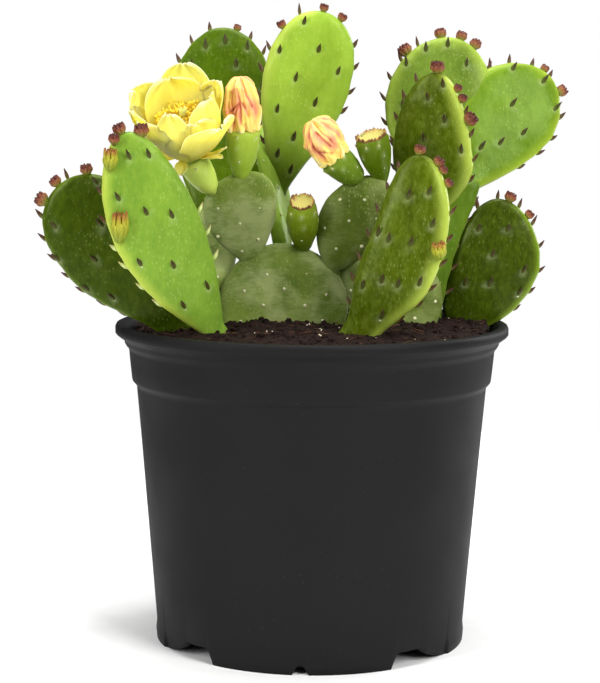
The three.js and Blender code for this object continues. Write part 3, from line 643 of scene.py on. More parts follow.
class Skin(Enum):
    """The skins of the pads and the fruits; some are lit or shaded copies of one green, with light or shade
    painted into their colour.
    """

    BRIGHT = CactusSkin("bright_young_skin", "#729630", "#64882a", "#c3cf52", speck=0.24)
    TALL = CactusSkin("tall_young_skin", "#92b43a", "#7c9c2a", "#c0d05a")
    LIGHT = CactusSkin("light_young_skin", "#5d7f16", "#50700e", "#a4ba3c", speck=0.2)
    FRESH = CactusSkin("fresh_young_skin", "#5c7426", "#4e661a", "#a3bb46", 0.85, 8.0, 0.2)
    # darker partly as painted shade: this pad lies in the shadow of the pads in front of it
    DARK = CactusSkin("dark_young_skin", "#324402", "#283a00", "#7f9a22", 0.4, 2.6, 0.15)
    DUSKY = CactusSkin("dusky_young_skin", "#303e04", "#283400", "#86a42a", 0.75, 4.5, 0.12)
    # darker partly as painted shade: this pad lies behind the flower and the tall pad
    LEAFY = CactusSkin("dark_upper_skin", "#405804", "#324a00", "#86a226", 0.4, 2.6, 0.18)
    OLIVE = CactusSkin("olive_young_skin", "#405000", "#364400", "#b5c850", 0.85, 7.0, 0.15)
    OLD = CactusSkin("old_waxy_skin", "#6a7c32", "#4e6424", "#9cab58", 0.3, 3.0, 0.3, **OLD_WAX)
    OLD_DARK = CactusSkin(
        "old_shaded_skin", "#54641e", "#3e4e14", "#7d8c42", 0.3, 3.0, 0.3, **OLD_WAX | {"bloom": 0.35}
    )
    SHADED = CactusSkin("shaded_skin", "#547018", "#44600e", "#6f8a2c", 0.3, 2.6, 0.25)
    # painted light: brightened, because this pad sits in the shade of the others
    EDGE = CactusSkin("edge_skin", "#92b240", "#7c9a30", "#7f9a34", 0.3, 2.6, 0.25)
    # painted light: a lighter copy for the fruit in the flower's shadow, to look lit
    FRUIT_LIT = CactusSkin("lit_fruit_skin", "#c6dc64", "#b4cc54", "#cfdd78", 0.4)
    FRUIT_PALE = CactusSkin("pale_fruit_skin", "#94b038", "#86a22e", "#bfd05c", 0.5)
    FRUIT = CactusSkin("fruit_skin", "#5f7a1c", "#546e14", "#93a844", 0.5)
    FRUIT_DARK = CactusSkin("dark_fruit_skin", "#4a6202", "#405602", "#84963a", 0.4)
    # painted light: lifted to make up for the shade that this fruit sits in
    FRUIT_SHADED = CactusSkin("shaded_fruit_skin", "#6a7e0e", "#5e720a", "#94a63a", 0.4)


LEAF_FLESH = TippedFlesh(
    "leaf_flesh", ((0.0, "#6a782a"), (0.3, "#4c521c"), (0.65, "#383214"), (1.0, "#3a2616"))
)
SPIKE_FLESH = TippedFlesh(
    "margin_leaf_flesh", ((0.0, "#7c8a34"), (0.3, "#5c5426"), (0.6, "#4a2c1c"), (1.0, "#381a14"))
)
PALE_LEAF_FLESH = TippedFlesh("pale_leaf_flesh", ((0.0, "#a9bc5a"), (0.5, "#c2cf86"), (1.0, "#a08a5c")))
BUD_FLESH = TippedFlesh(
    "bud_scales",
    ((0.0, "#7e8038"), (0.2, "#8e6436"), (0.5, "#78422f"), (0.8, "#54281f"), (1.0, "#341715")),
    mottle=0.45,
)
GREEN_BUD_FLESH = TippedFlesh(
    "green_bud_scales",
    ((0.0, "#7e8e26"), (0.6, "#a6a230"), (0.82, "#98702c"), (0.92, "#7e402a"), (1.0, "#521f1c")),
    mottle=0.25,
)
FELT = TippedFlesh("areole_felt", ((0.0, "#b7b98a"), (0.6, "#dcdcb8"), (1.0, "#e9e8cf")), 0.9)
OLD_FELT = TippedFlesh(
    "old_areole_felt", ((0.0, "#5f6c34"), (0.2, "#a9ad74"), (0.42, "#cfcfa6"), (0.62, "#9a7a58")), 0.9, 0.1
)
POLLEN = TippedFlesh("pollen_and_filaments", ((0.0, "#cfae1c"), (0.6, "#e6c22c"), (1.0, "#f0cf45")), 0.8)
PETAL = Petal("satin_yellow_petal", "#ecd035", "#f6e96a", "#f9f2a6", "#eed94a")
CUP = TippedFlesh("flower_cup_flesh", ((0.0, "#8fb04a"), (0.5, "#c9cf45"), (1.0, "#efdc3a")))
STIGMA = TippedFlesh("stigma", ((0.0, "#d8cf6a"), (1.0, "#c9d07a")))
SCAR = TippedFlesh(
    "flower_scar", ((0.0, "#b3ab5c"), (0.3, "#bfae68"), (0.6, "#94703c"), (1.0, "#5e4224")), 0.7, 0.45
)
WITHERED_PETAL = TippedFlesh(
    "withered_petal",
    (
        (0.0, "#94482a"), (0.15, "#c96e4c"), (0.32, "#e89c76"), (0.5, "#f2bc74"), (0.72, "#f0da72"),
        (1.0, "#f8e8c0"),
    ),
    0.5, 0.25, subsurface=0.3, scale=420.0,
)
PEAT = Peat("moist_peat")
GRIT = TippedFlesh("pale_grit", ((0.0, "#b9ad98"), (1.0, "#d8cfbd")), 0.9)
FIBRE = TippedFlesh("peat_fibre", ((0.0, "#4a3022"), (1.0, "#8a6444")), 0.85)
PLASTIC = MouldedPlastic("black_polypropylene")
PAPER = Paper("pale_paper_floor")


# ------------------------------------------------------------------ pads


@dataclass(frozen=True)
class Bud:
    """A flower bud: its angle round the margin, radius, how tall it is, and how far in it stands."""

    degrees: float
    radius: float
    tall: float = 1.0
    inset: float = 0.0
    green: bool = False


@dataclass
class Pad:
    """One flat pad: its outline, its skin, and what grows on it.

    Sizes are in millimetres; 'widest' is the share of the length where it is widest, 'taper' how
    fast it narrows to its neck, 'square' how square its far end is, 'sweep' and 'bow' how far its
    middle swings sideways and out of its face, and 'turn' the angle of its face from the viewer.
    'root' is how far it reaches below its neck. 'rows' is the distance between rows of leaves, 0 on
    an old pad without leaves, 'phase' where they start and 'slant' how they slope. 'lit_side' is the
    side whose pale margin, with its painted highlight, is kept, the other side's being nearly faded out
    (0 for both), 'pale_from' the angle round the margin below which its leaves are pale, 'bare_side'
    the side whose upper margin has no leaves, and 'neck_shade' how strong the painted shade on its neck is.
    """

    name: str
    base: tuple[float, float, float]
    tip: tuple[float, float, float]
    width: float
    thickness: float
    neck: float
    widest: float
    taper: float
    square: float
    sweep: float
    bow: float
    turn: float
    skin: Skin
    slot: str
    root: float = 14.0
    rows: float = 0.0
    phase: float = 0.0
    slant: float = 0.0
    leaves: tuple[tuple[float, float], ...] = ()
    buds: tuple[Bud, ...] = ()
    pale_from: float = 200.0
    lit_side: int = 0
    bare_side: int = 0
    neck_shade: float = 0.0

    SIDES: ClassVar[int] = 72
    RINGS: ClassVar[int] = 60
    # distances between rows on an old pad, between columns, and along the margin
    OLD_ROWS: ClassVar[float] = 13.0
    COLUMNS: ClassVar[float] = 11.5
    OLD_COLUMNS: ClassVar[float] = 8.5
    MARGIN_STEP: ClassVar[float] = 9.5
    STRAY: ClassVar[float] = 1.2
    # how far round the margin its areoles go, and how near to a bud
    MARGIN_END: ClassVar[int] = 148
    OLD_MARGIN_END: ClassVar[int] = 120
    BUD_CLEAR: ClassVar[float] = 3.6
    # the radius of an areole's felt: on a face, on an old face and on the margin
    FELTS: ClassVar[tuple[float, float, float]] = (0.62, 0.95, 0.6)

    def __post_init__(self) -> None:
        """Work out the pad's own axes."""
        self.foot = Vector(self.base)
        self.axis = Vector(self.tip) - self.foot
        self.length = self.axis.length
        self.axis.normalize()
        angle = math.radians(self.turn)
        normal = Vector((math.sin(angle), -math.cos(angle), 0.0))
        self.normal = (normal - self.axis * normal.dot(self.axis)).normalized()
        self.across = self.axis.cross(self.normal)

    def half_width(self, share: float) -> float:
        """Half the width at a share of the length.

        Args:
            share: The share, from the neck.

        Returns:
            Half the width.
        """
        if share < self.widest:
            neck = self.neck / self.width
            rise = math.sin(math.pi / 2 * max(share, 0.0) / self.widest) ** self.taper
            return self.width / 2 * (neck + (1 - neck) * rise)
        beyond = min((share - self.widest) / (1 - self.widest), 1.0)
        return self.width / 2 * math.sqrt(max(1 - beyond**self.square, 0.0))

    def half_thickness(self, share: float) -> float:
        """Half the thickness at a share of the length."""
        if share < self.widest:
            return self.thickness / 2 * (0.75 + 0.25 * max(share, 0.0) / self.widest)
        return self.thickness / 2 * math.sqrt(self.half_width(share) / (self.width / 2))

    def point(self, share: float, across: float, out: float) -> Vector:
        """A point of the pad.

        Args:
            share: Share of the length, from the neck.
            across: Sideways from the pad's middle line.
            out: Out of its middle plane, towards the viewer's side.

        Returns:
            The point in millimetres.
        """
        swing = 4 * share * (1 - share)
        return (
            self.foot
            + self.axis * (self.length * share)
            + self.across * (across + self.sweep * swing)
            + self.normal * (out + self.bow * swing)
        )

    def face_spot(self, along: float, across: float, face: int) -> Spot:
        """A spot on one of the faces, and the way that a leaf points there.

        Args:
            along: Distance from the neck.
            across: Distance from the middle line.
            face: 1 for the viewer's side, -1 for the back.

        Returns:
            The place and the direction.
        """
        share = along / self.length
        sideways = min(abs(across) / max(self.half_width(share), 0.1), 0.98)
        out = face * self.half_thickness(share) * (1 - sideways**SECTION) ** (1 / SECTION)
        outward = self.normal * face + self.axis * 1.7 + self.across * (0.02 * across)
        return self.point(share, across, out), outward.normalized()

    def margin_spot(self, degrees: float) -> Spot:
        """A spot on the margin: 0 is the far end, 90 the widest place on the right.

        Args:
            degrees: Angle round the margin.

        Returns:
            The place and the outward direction.
        """
        angle = abs(degrees)
        side = -1 if degrees < 0 else 1
        rise = math.cos(math.radians(angle))
        if angle <= 90:
            share = self.widest + (1 - self.widest) * rise ** (2 / self.square)
            wide = self.width / 2 * math.sin(math.radians(angle))
        else:
            share = self.widest * (1 - (angle - 90) / 90)
            wide = self.half_width(share)
        outward = self.across * (side * math.sin(math.radians(min(angle, 100)))) + self.axis * max(rise, -0.1)
        return self.point(share, side * wide, 0.0), outward.normalized()

    def spots(self) -> tuple[list[Spot], list[Spot]]:
        """Where the areoles are.

        Returns:
            The face spots and the margin spots, each a place and a direction.
        """
        faces = [self.face_spot(along, across, 1) for along, across in self.leaves]
        rows = self.rows or self.OLD_ROWS
        spread = self.COLUMNS if self.rows else self.OLD_COLUMNS
        for face in (-1,) if self.leaves else (1, -1):
            for column in range(-3, 4):
                across = column * spread
                for row in range(-1, 7):
                    along = self.phase + row * rows + (self.slant or -0.7) * across * face
                    along += CHANCE.uniform(-self.STRAY, self.STRAY)
                    share = along / self.length
                    if 0.12 < share < 0.92 and abs(across) < 0.8 * self.half_width(share):
                        faces.append(self.face_spot(along, across + CHANCE.uniform(-0.8, 0.8), face))
        margin: list[Spot] = []
        last = None
        gap = self.MARGIN_STEP
        end = self.MARGIN_END if self.rows else self.OLD_MARGIN_END
        taken = [self.margin_spot(bud.degrees)[0] for bud in self.buds]
        for degrees in range(-end, end + 1, 2):
            place, outward = self.margin_spot(degrees)
            if last is not None and (place - last).length < gap:
                continue
            last = place
            gap = self.MARGIN_STEP + CHANCE.uniform(-self.STRAY, self.STRAY)
            if all((place - bud).length > self.BUD_CLEAR for bud in taken):
                margin.append((place, (outward + Vector((0, 0, 0.9))).normalized()))
        return faces, margin

    def build_body(self, spots: Sequence[Spot]) -> bmesh.types.BMesh:
        """The pad's body, with a low swelling under each areole.

        Args:
            spots: The areoles.

        Returns:
            The body's mesh in millimetres, with 'rim', 'mark' and 'neck' on its vertices.
        """
        bm = bmesh.new()
        bmesh.ops.create_uvsphere(bm, u_segments=self.SIDES, v_segments=self.RINGS, radius=1.0)
        rim, mark, neck = (bm.verts.layers.float.new(name) for name in ("rim", "mark", "neck"))
        near = near_tree([place for place, _ in spots])
        swelling, reach = (0.65, 3.4) if self.rows else (0.5, 2.2)
        shift = Vector((self.base[0], self.tip[2], self.width))
        for vertex in bm.verts:
            x, y, z = vertex.co
            down = math.acos(gathered(z, -1.0)) / math.pi
            flat = math.hypot(x, y)
            pole = flat < 1e-5
            cosine, sine = (1.0, 0.0) if pole else (x / flat, y / flat)
            if down <= 0.5:
                rise = max(math.cos(math.pi * down), 0.0) ** (2 / self.square)
                share = self.widest + (1 - self.widest) * rise
            else:
                lower = min((down - 0.5) / (0.5 - 1 / self.RINGS), 1.0)
                share = self.widest + (-self.root / self.length - self.widest) * lower
            half, thick = self.half_width(share), self.half_thickness(share)
            wide = 0.0 if pole else half * signed_power(cosine, 2 / SECTION)
            deep = 0.0 if pole else thick * signed_power(sine, 2 / SECTION)
            spot = self.point(share, wide, deep)
            inward = min(half - abs(wide), max(1 - share, 0.0) * self.length * 0.9)
            # the pale margin, its own paler green and a painted highlight: with a lit side, that side keeps
            # nearly all of it and the other side little
            lit = 0.08 + 0.92 * gathered(self.lit_side * wide / 6.0) if self.lit_side else 1.0
            vertex[rim] = lit * (1 - gathered(inward / self.skin.value.rim_width))
            # painted shade, strongest at the neck
            vertex[neck] = self.neck_shade * gathered(1.3 - share / 0.3)
            outward = self.normal * (deep / max(thick, 0.1)) + self.across * (0.5 * wide / max(half, 0.1))
            # low waves about 17 and 6 mm long
            lift = 0.42 * noise.noise((spot + shift) / 17.0) + 0.14 * noise.noise((spot + shift) / 6.0)
            _, _, gap = near.find(spot)
            lift += swelling * fade(gap, reach)
            lift -= 0.3 * fade(gap, 1.1)
            # the pale halo round each areole, partly its felt and partly a painted highlight
            vertex[mark] = fade(gap, 1.3) if self.rows else 0.0
            vertex.co = spot + outward * (0.0 if pole else lift)
        bmesh.ops.recalc_face_normals(bm, faces=bm.faces)
        return bm

    def dress(self) -> None:
        """Build the pad and what grows on it."""
        faces, margin = self.spots()
        settle(self.build_body(faces + margin), f"{self.name}_skin", self.skin.value, self.slot, self.name)
        felt = Flesh()
        young, old, edge = self.FELTS
        for place, outward in faces:
            facing = self.normal * math.copysign(1.0, outward.dot(self.normal))
            felt.cushion(place - self.axis * 0.7, facing, young if self.rows else old)
        for place, outward in margin:
            felt.cushion(place, outward, edge)
        settle(felt.bm, f"{self.name}_areoles", FELT if self.rows else OLD_FELT, self.slot)
        if self.rows:
            self.build_leaves(faces, margin)
            self.build_buds("buds", [bud for bud in self.buds if not bud.green], BUD_FLESH)
            self.build_buds("green_bud", [bud for bud in self.buds if bud.green], GREEN_BUD_FLESH)

    def build_leaves(self, faces: Sequence[Spot], margin: Sequence[Spot]) -> None:
        """Build the leaves: short lobes on the faces, longer spikes on the margin, pale ones low down.

        Args:
            faces: The face spots.
            margin: The margin spots.
        """
        lobes, spikes, hooks = Flesh(), Flesh(), Flesh()
        for place, outward in faces:
            lobes.leaf(place, outward, CHANCE.uniform(3.8, 4.8), CHANCE.uniform(0.72, 0.9), self.axis)
        has_pale = self.pale_from < 180
        low = self.point(self.widest * (1 - (self.pale_from - 90) / 90), 0, 0) if has_pale else self.foot
        for place, outward in margin:
            lower = (place - low).dot(self.axis) < 0
            length, radius = CHANCE.uniform(3.6, 4.8), CHANCE.uniform(0.7, 0.88)
            if lower or (place - self.foot).dot(self.across) * self.bare_side <= 0:
                (hooks if lower and has_pale else spikes).leaf(place, outward, length, radius, self.axis)
        for leaves, name, finish in (
            (lobes, "leaves", LEAF_FLESH),
            (spikes, "margin_leaves", SPIKE_FLESH),
            (hooks, "pale_leaves", PALE_LEAF_FLESH),
        ):
            if len(leaves.bm.verts):
                settle(leaves.bm, f"{self.name}_{name}", finish, self.slot)
            else:
                leaves.bm.free()

    def build_buds(self, kind: str, rows: Sequence[Bud], finish: Finish) -> None:
        """Build the flower buds of one kind, on the margin or standing in on the face.

        Args:
            kind: The end of the piece's name.
            rows: The buds.
            finish: Their finish.
        """
        if not rows:
            return
        buds = Flesh()
        for row in rows:
            place, outward = self.margin_spot(row.degrees)
            direction = outward + self.axis * 0.3
            if row.inset:
                inward = -math.copysign(row.inset, row.degrees)
                place += self.across * inward + self.normal * (0.35 * self.thickness)
                direction = Vector((0, 0, 1)) + self.normal * 0.3
            direction.normalize()
            buds.bud(place + direction * 0.25, direction, row.radius, row.tall)
        settle(buds.bm, f"{self.name}_{kind}", finish, self.slot)


# where each front face has its leaves: distance from the neck and from the middle line
LEAVES = {
    "front_left": (
        (78, 0.3), (75.3, 7.9), (64.6, -9.2), (55, -1.1), (49.4, 7.8), (37.1, -11.8),
        (30.4, -0.3), (16, 7.5), (13.1, -4.8),
    ),
    "left_leaning": (
        (66.1, 13.1), (62, -11.8), (50.8, -19.5), (33.2, -17.5), (51, 4.3), (41.1, -6.9), (24.4, -11.4),
    ),
    "front_right": (
        (61.5, -3.7), (65.9, 4.3), (42.8, -12), (42.2, -6.9), (44.4, 2.1), (54.6, 8.4), (25.7, -2.9),
        (26.6, 3.8), (30.6, 11.3), (20.4, -8.8), (11.8, 4.3),
    ),
    "top_centre": (
        (71.5, -7.5), (61.6, 1.3), (47.2, -5), (54.6, 11.6), (57.1, -14.6), (32.4, -9.2), (38.9, 5.6),
        (22.4, 0.6), (13.6, -4.3), (8.2, 2.9),
    ),
    "back_left": (
        (75, -7.3), (77, 1.3), (74, 11), (65.7, 5.9), (66, -13.2), (50, -4), (45, 10), (33, 2), (55, 17),
    ),
    "back_right": (
        (70, 0.5), (67.7, -8.6), (61.2, 10.1), (41.4, -15.7), (60.8, -16), (50, 2), (38, -3), (30, 10),
        (24, -6),
    ),
    "top_right": (
        (41.8, -1.3), (34.3, 10), (17, -2.2), (56.4, -11.2), (60, 2.5), (53.1, 14.6), (24, 4),
    ),
    "right_middle": ((47.3, -1), (38.1, 6.9), (29.7, -1.9), (25.1, 14), (53, 5), (12, 2)),
    "right_dark": ((40.7, -11.5), (44.6, 1.2), (16.4, -9.1), (19.6, 0.6), (29.7, 12), (20, 14), (32, -3)),
}

PADS = (
    Pad("pad_front_left", (-41.5, -42, 140.5), (-76.5, -58, 219.5), 36, 9, 10, 0.55, 0.86, 1.8, -3.4, 2, 6,
        Skin.BRIGHT, "young_pad", rows=22, phase=11, slant=-0.85, leaves=LEAVES["front_left"],
        pale_from=92, lit_side=-1, bare_side=1,
        buds=(Bud(25, 2.9), Bud(0, 2.6), Bud(-16, 2.2, 1, 0.8), Bud(-40, 2.9, 1.7, 3, True),
              Bud(-86, 3.5, 2, 2.8, True))),
    Pad("pad_front_right", (18.5, -44, 137), (45, -52, 211.5), 30.5, 9.5, 14.5, 0.4, 1.9, 3.1, 6.6, 2, -16,
        Skin.OLIVE, "olive_pad", rows=18.5, phase=8, slant=0.5, leaves=LEAVES["front_right"], lit_side=1,
        buds=(Bud(-10, 2.3), Bud(20, 2.1), Bud(29, 1.8), Bud(41, 1.8), Bud(83, 2.9, 1.35, 0.3, True))),
    Pad("pad_left_leaning", (-58, -30, 139), (-104.5, -32, 198.5), 42.5, 9, 12.5, 0.58, 1.46, 2.8, -0.5, 0, -8,
        Skin.DARK, "dark_pad", rows=20, phase=2, slant=-0.6, leaves=LEAVES["left_leaning"],
        buds=(Bud(33, 2.5), Bud(-3, 2.4), Bud(-27, 2.9))),
    Pad("pad_basal_centre", (-14, -16, 134), (-11, -8, 172.5), 55, 13, 46, 0.34, 0.7, 1.85, 1, 0, 0,
        Skin.OLD, "old_pad", phase=6),
    Pad("pad_old_left", (-28, -11, 166.5), (-25.5, -18, 203.5), 31, 9, 7.5, 0.57, 0.76, 1.95, -4.4, 1, 0,
        Skin.OLD, "old_pad", root=4, phase=4),
    Pad("pad_old_right", (8.5, -11, 164), (29.5, -18, 201), 26.5, 9, 8.8, 0.5, 0.62, 1.8, -2.8, 1, 0,
        Skin.OLD_DARK, "old_pad", root=4, phase=8),
    Pad("pad_old_left_low", (-38, -9, 152.5), (-38, 13, 189), 24, 8, 5, 0.55, 1.04, 2.2, -6, 0, 0,
        Skin.OLD, "old_pad", root=4, phase=5),
    Pad("pad_old_right_low", (14.5, -10, 149), (26, 6, 171.5), 22, 7, 6, 0.5, 0.7, 2.2, -0.5, 0, 20,
        Skin.OLD_DARK, "old_pad", root=4, phase=3),
    Pad("pad_basal_right", (44, -8, 137), (44, -4, 164.5), 24, 9, 16, 0.45, 0.6, 2.2, 0, 0, 0,
        Skin.OLD_DARK, "old_pad", phase=5),
    Pad("pad_right_carrier", (48.5, 4, 138), (71.5, 9, 199), 19, 9, 16, 0.36, 0.9, 1.7, -7, 0, 0,
        Skin.SHADED, "dark_pad", rows=21, phase=18, slant=-0.4, leaves=((22, 2), (42, -2))),
    Pad("pad_right_dark", (66, 10, 137), (84, 8, 191), 37.5, 10, 15, 0.56, 0.58, 1.7, 5, 0, 0,
        Skin.DUSKY, "dark_pad", rows=21, phase=0, slant=0.2, leaves=LEAVES["right_dark"], lit_side=1,
        buds=(Bud(4, 2.5), Bud(31, 2))),
    Pad("pad_edge_on", (-13, -4, 171), (-22, 22, 221.5), 26, 9, 9, 0.5, 0.7, 2.2, 4, 0, 72,
        Skin.EDGE, "dark_pad", root=4, phase=6),
    Pad("pad_top_centre", (-15, 10, 195.5), (4.5, 2, 271), 37.5, 10, 8, 0.63, 1.29, 2.35, 0, 0, 4,
        Skin.TALL, "young_pad", root=4, rows=20, phase=2.5, slant=-0.9, leaves=LEAVES["top_centre"],
        lit_side=-1, neck_shade=0.7, buds=(Bud(-2, 1.9), Bud(23, 2), Bud(-55, 1.9))),
    Pad("pad_right_middle", (54, 2, 188), (51.5, -8, 245.5), 35, 10, 9, 0.34, 0.9, 1.75, -2, 0, -20,
        Skin.OLIVE, "olive_pad", root=6, rows=17, phase=7, slant=-1.1, leaves=LEAVES["right_middle"],
        lit_side=1, neck_shade=0.4, buds=(Bud(3, 2.9), Bud(35, 1.8), Bud(44, 1.9), Bud(60, 3))),
    Pad("pad_top_right", (66, 12, 196), (102.5, 34, 246.5), 43.5, 9, 7, 0.64, 0.99, 1.65, -3, 0, 0,
        Skin.LIGHT, "young_pad", root=4, rows=20, phase=0, slant=-0.7, leaves=LEAVES["top_right"],
        buds=(Bud(-2, 1.9), Bud(30, 2.5))),
    Pad("pad_back_right", (57, 12, 189), (59.5, 32, 261.5), 46.5, 9, 9.5, 0.59, 1.09, 2.05, -3.5, 0, 0,
        Skin.FRESH, "young_pad", root=8, rows=21, phase=18, slant=-0.3, leaves=LEAVES["back_right"],
        neck_shade=0.5, buds=(Bud(-44, 3), Bud(-8, 2.6), Bud(14, 2.4), Bud(31, 2.5))),
    Pad("pad_back_left", (-38.5, 16, 184), (-41, 42, 265.5), 46, 9, 22, 0.63, 0.65, 1.7, 0, 0, 0,
        Skin.LEAFY, "dark_pad", root=4, rows=20, phase=9, slant=-0.7, leaves=LEAVES["back_left"],
        buds=(Bud(16, 1.7),)),
)


# ------------------------------------------------------------------ ovaries


@dataclass
class Ovary:
    """The small top-shaped fruit under a flower; a cut one ends in a pale disc.

    'foot_share' is its foot's share of its radius and 'mouth' its upper end's.
    """

    name: str
    base: tuple[float, float, float]
    top: tuple[float, float, float]
    radius: float
    skin: Skin
    foot_share: float = 0.5
    cut: bool = False
    mouth: float = 1.0

    # each ring of areoles: its share of the height and how many they are
    AREOLES: ClassVar[tuple] = ((0.34, 4), (0.62, 5), (0.86, 6))
    HEIGHTS: ClassVar[tuple] = (0.03, 0.1, 0.18, 0.28, 0.4, 0.52, 0.64, 0.76, 0.86)
    # the scar as shares of the radius, with its heights over the ovary's end
    SCAR_PROFILE: ClassVar[tuple] = (
        (0.0, -1.35), (0.25, -1.3), (0.5, -1.1), (0.72, -0.5), (0.84, 0.5), (0.92, 1.1), (0.97, 0.5),
        (0.9, -0.6),
    )

    def girth(self, share: float) -> float:
        """The ovary's radius at a share of its length, as a share of its widest."""
        closing = 1 - (1 - self.mouth) * gathered((share - 0.5) / 0.5) ** 1.5
        rise = math.sin(math.pi / 2 * min(share / 0.75, 1.0)) ** 0.9
        return closing * (self.foot_share + (1 - self.foot_share) * rise)

    def outline(self, length: float) -> list[tuple[float, float]]:
        """The ovary's outline from its foot's middle to its end's.

        Args:
            length: The ovary's length.

        Returns:
            Radius and height pairs.
        """
        wide = self.radius
        foot = self.foot_share * wide
        points = [(0.0, -3.0), (0.5 * foot, -3.0), (0.6 * foot, -1.6), (0.88 * foot, -0.7)]
        points += [(self.girth(z) * wide, z * length) for z in self.HEIGHTS]
        wide *= self.mouth
        points += [(0.98 * wide, 0.94 * length), (0.9 * wide, length)]
        if self.cut:
            points += [(0.82 * wide, length + 0.2), (0.74 * wide, length - 1.0)]
            return points + [(0.4 * wide, length - 2.0), (0.0, length - 2.2)]
        return points + [(0.6 * wide, length + 0.2), (0.0, length + 0.3)]

    def dress(self) -> None:
        """Build the ovary, its areoles and, on a cut one, its scar."""
        foot = Vector(self.base)
        axis = Vector(self.top) - foot
        length = axis.length
        axis.normalize()
        turn = Matrix.Translation(foot) @ orient(axis, CHANCE.uniform(0, 3))
        bm = bmesh.new()
        spin_profile(bm, self.outline(length), 48)
        rim, mark = (bm.verts.layers.float.new(name) for name in ("rim", "mark"))
        spots = []
        for row, (share, count) in enumerate(self.AREOLES):
            for i in range(count):
                angle = (i + 0.5 * row) / count * 2 * math.pi + CHANCE.uniform(-0.2, 0.2)
                side = Vector((math.cos(angle), math.sin(angle), 0.0))
                spots.append((side * (self.radius * self.girth(share)) + Vector((0, 0, share * length)), side))
        near = near_tree([place for place, _ in spots])
        for vertex in bm.verts:
            _, _, gap = near.find(vertex.co)
            side = Vector((vertex.co.x, vertex.co.y, 0.0))
            swell = 0.4 * fade(gap, 1.8) + 0.25 * noise.noise(vertex.co / 4.0 + foot)
            # the pale halo round each areole, partly its felt and partly a painted highlight
            vertex[mark] = fade(gap, 0.9)
            vertex[rim] = gathered(vertex.co.z / length) ** 2 * 0.7
            if side.length > 0.3:
                vertex.co += side.normalized() * swell
        bmesh.ops.transform(bm, matrix=turn, verts=bm.verts)
        bmesh.ops.recalc_face_normals(bm, faces=bm.faces)
        settle(bm, f"{self.name}_skin", self.skin.value, "ovary", self.name)
        felt, scales = Flesh(), Flesh()
        for place, side in spots:
            where = turn @ place
            outward = (turn.to_3x3() @ side).normalized()
            felt.cushion(where, outward, 0.6)
            if place.z > 0.8 * length:
                scales.leaf(where, (outward + axis * 1.6).normalized(), 1.7, 0.42, axis)
        settle(felt.bm, f"{self.name}_areoles", FELT, "ovary")
        settle(scales.bm, f"{self.name}_scales", PALE_LEAF_FLESH, "ovary")
        if self.cut:
            self.build_scar(turn, length)

    def build_scar(self, turn: Matrix, length: float) -> None:
        """The scar left by a dropped flower: a pale dish with a torn brown rim.

        Args:
            turn: The ovary's place and turn.
            length: The ovary's length.
        """
        dish = Flesh()
        wide = self.radius * self.mouth
        spin_profile(dish.bm, [(r * wide, z + length) for r, z in self.SCAR_PROFILE], 64)
        for vertex in dish.bm.verts:
            reach = math.hypot(vertex.co.x, vertex.co.y) / wide
            angle = math.atan2(vertex.co.y, vertex.co.x)
            torn = noise.noise(Vector((math.cos(angle) * 3.2, math.sin(angle) * 3.2, self.radius)))
            fine = noise.noise(Vector((math.cos(angle) * 9.0, math.sin(angle) * 9.0, 2.0)))
            vertex[dish.tip] = gathered((reach - 0.7) * 3.6 + 0.9 * torn + 0.5 * fine)
            if reach > 0.8:
                vertex.co.z += 1.6 * torn + 1.5 * fine
        bmesh.ops.transform(dish.bm, matrix=turn, verts=dish.bm.verts)
        bmesh.ops.recalc_face_normals(dish.bm, faces=dish.bm.faces)
        settle(dish.bm, f"{self.name}_scar", SCAR, "ovary")


OVARIES = (
    Ovary("ovary_open_flower", (-43.2, -20, 196.8), (-51, -27.5, 208.6), 6.3, Skin.FRUIT_LIT, 0.62),
    Ovary("ovary_withered_left", (-30.3, -19, 202.2), (-29.2, -22, 221), 6.9, Skin.FRUIT_PALE, 0.48),
    Ovary("ovary_withered_right", (18.4, -18, 201), (8.2, -22, 210), 6.7, Skin.FRUIT, 0.66),
    Ovary("fruit_cut_right", (29, -16.5, 200.6), (24.2, -22.5, 218.6), 6.9, Skin.FRUIT_DARK, 0.4, True),
    Ovary("fruit_cut_centre", (-4, -10, 171.6), (-4.4, -24, 191), 7, Skin.FRUIT_SHADED, 0.5, True, 0.78),
)


# ------------------------------------------------------------------ flowers


class Axes:
    """Where a flower stands: its foot, its axis, its right and its back."""

    def __init__(self, foot: Sequence[float], axis: Vector) -> None:
        """Work out the right and the back.

        Args:
            foot: The flower's foot.
            axis: Its axis, of length 1.
        """
        self.foot = Vector(foot)
        self.axis = axis
        self.right = (Vector((1, 0, 0)) - axis * axis.x).normalized()
        self.back = axis.cross(self.right)

    def around(self, angle: float) -> Vector:
        """The way out of the axis, at an angle in radians from the right."""
        return self.right * math.cos(angle) + self.back * math.sin(angle)


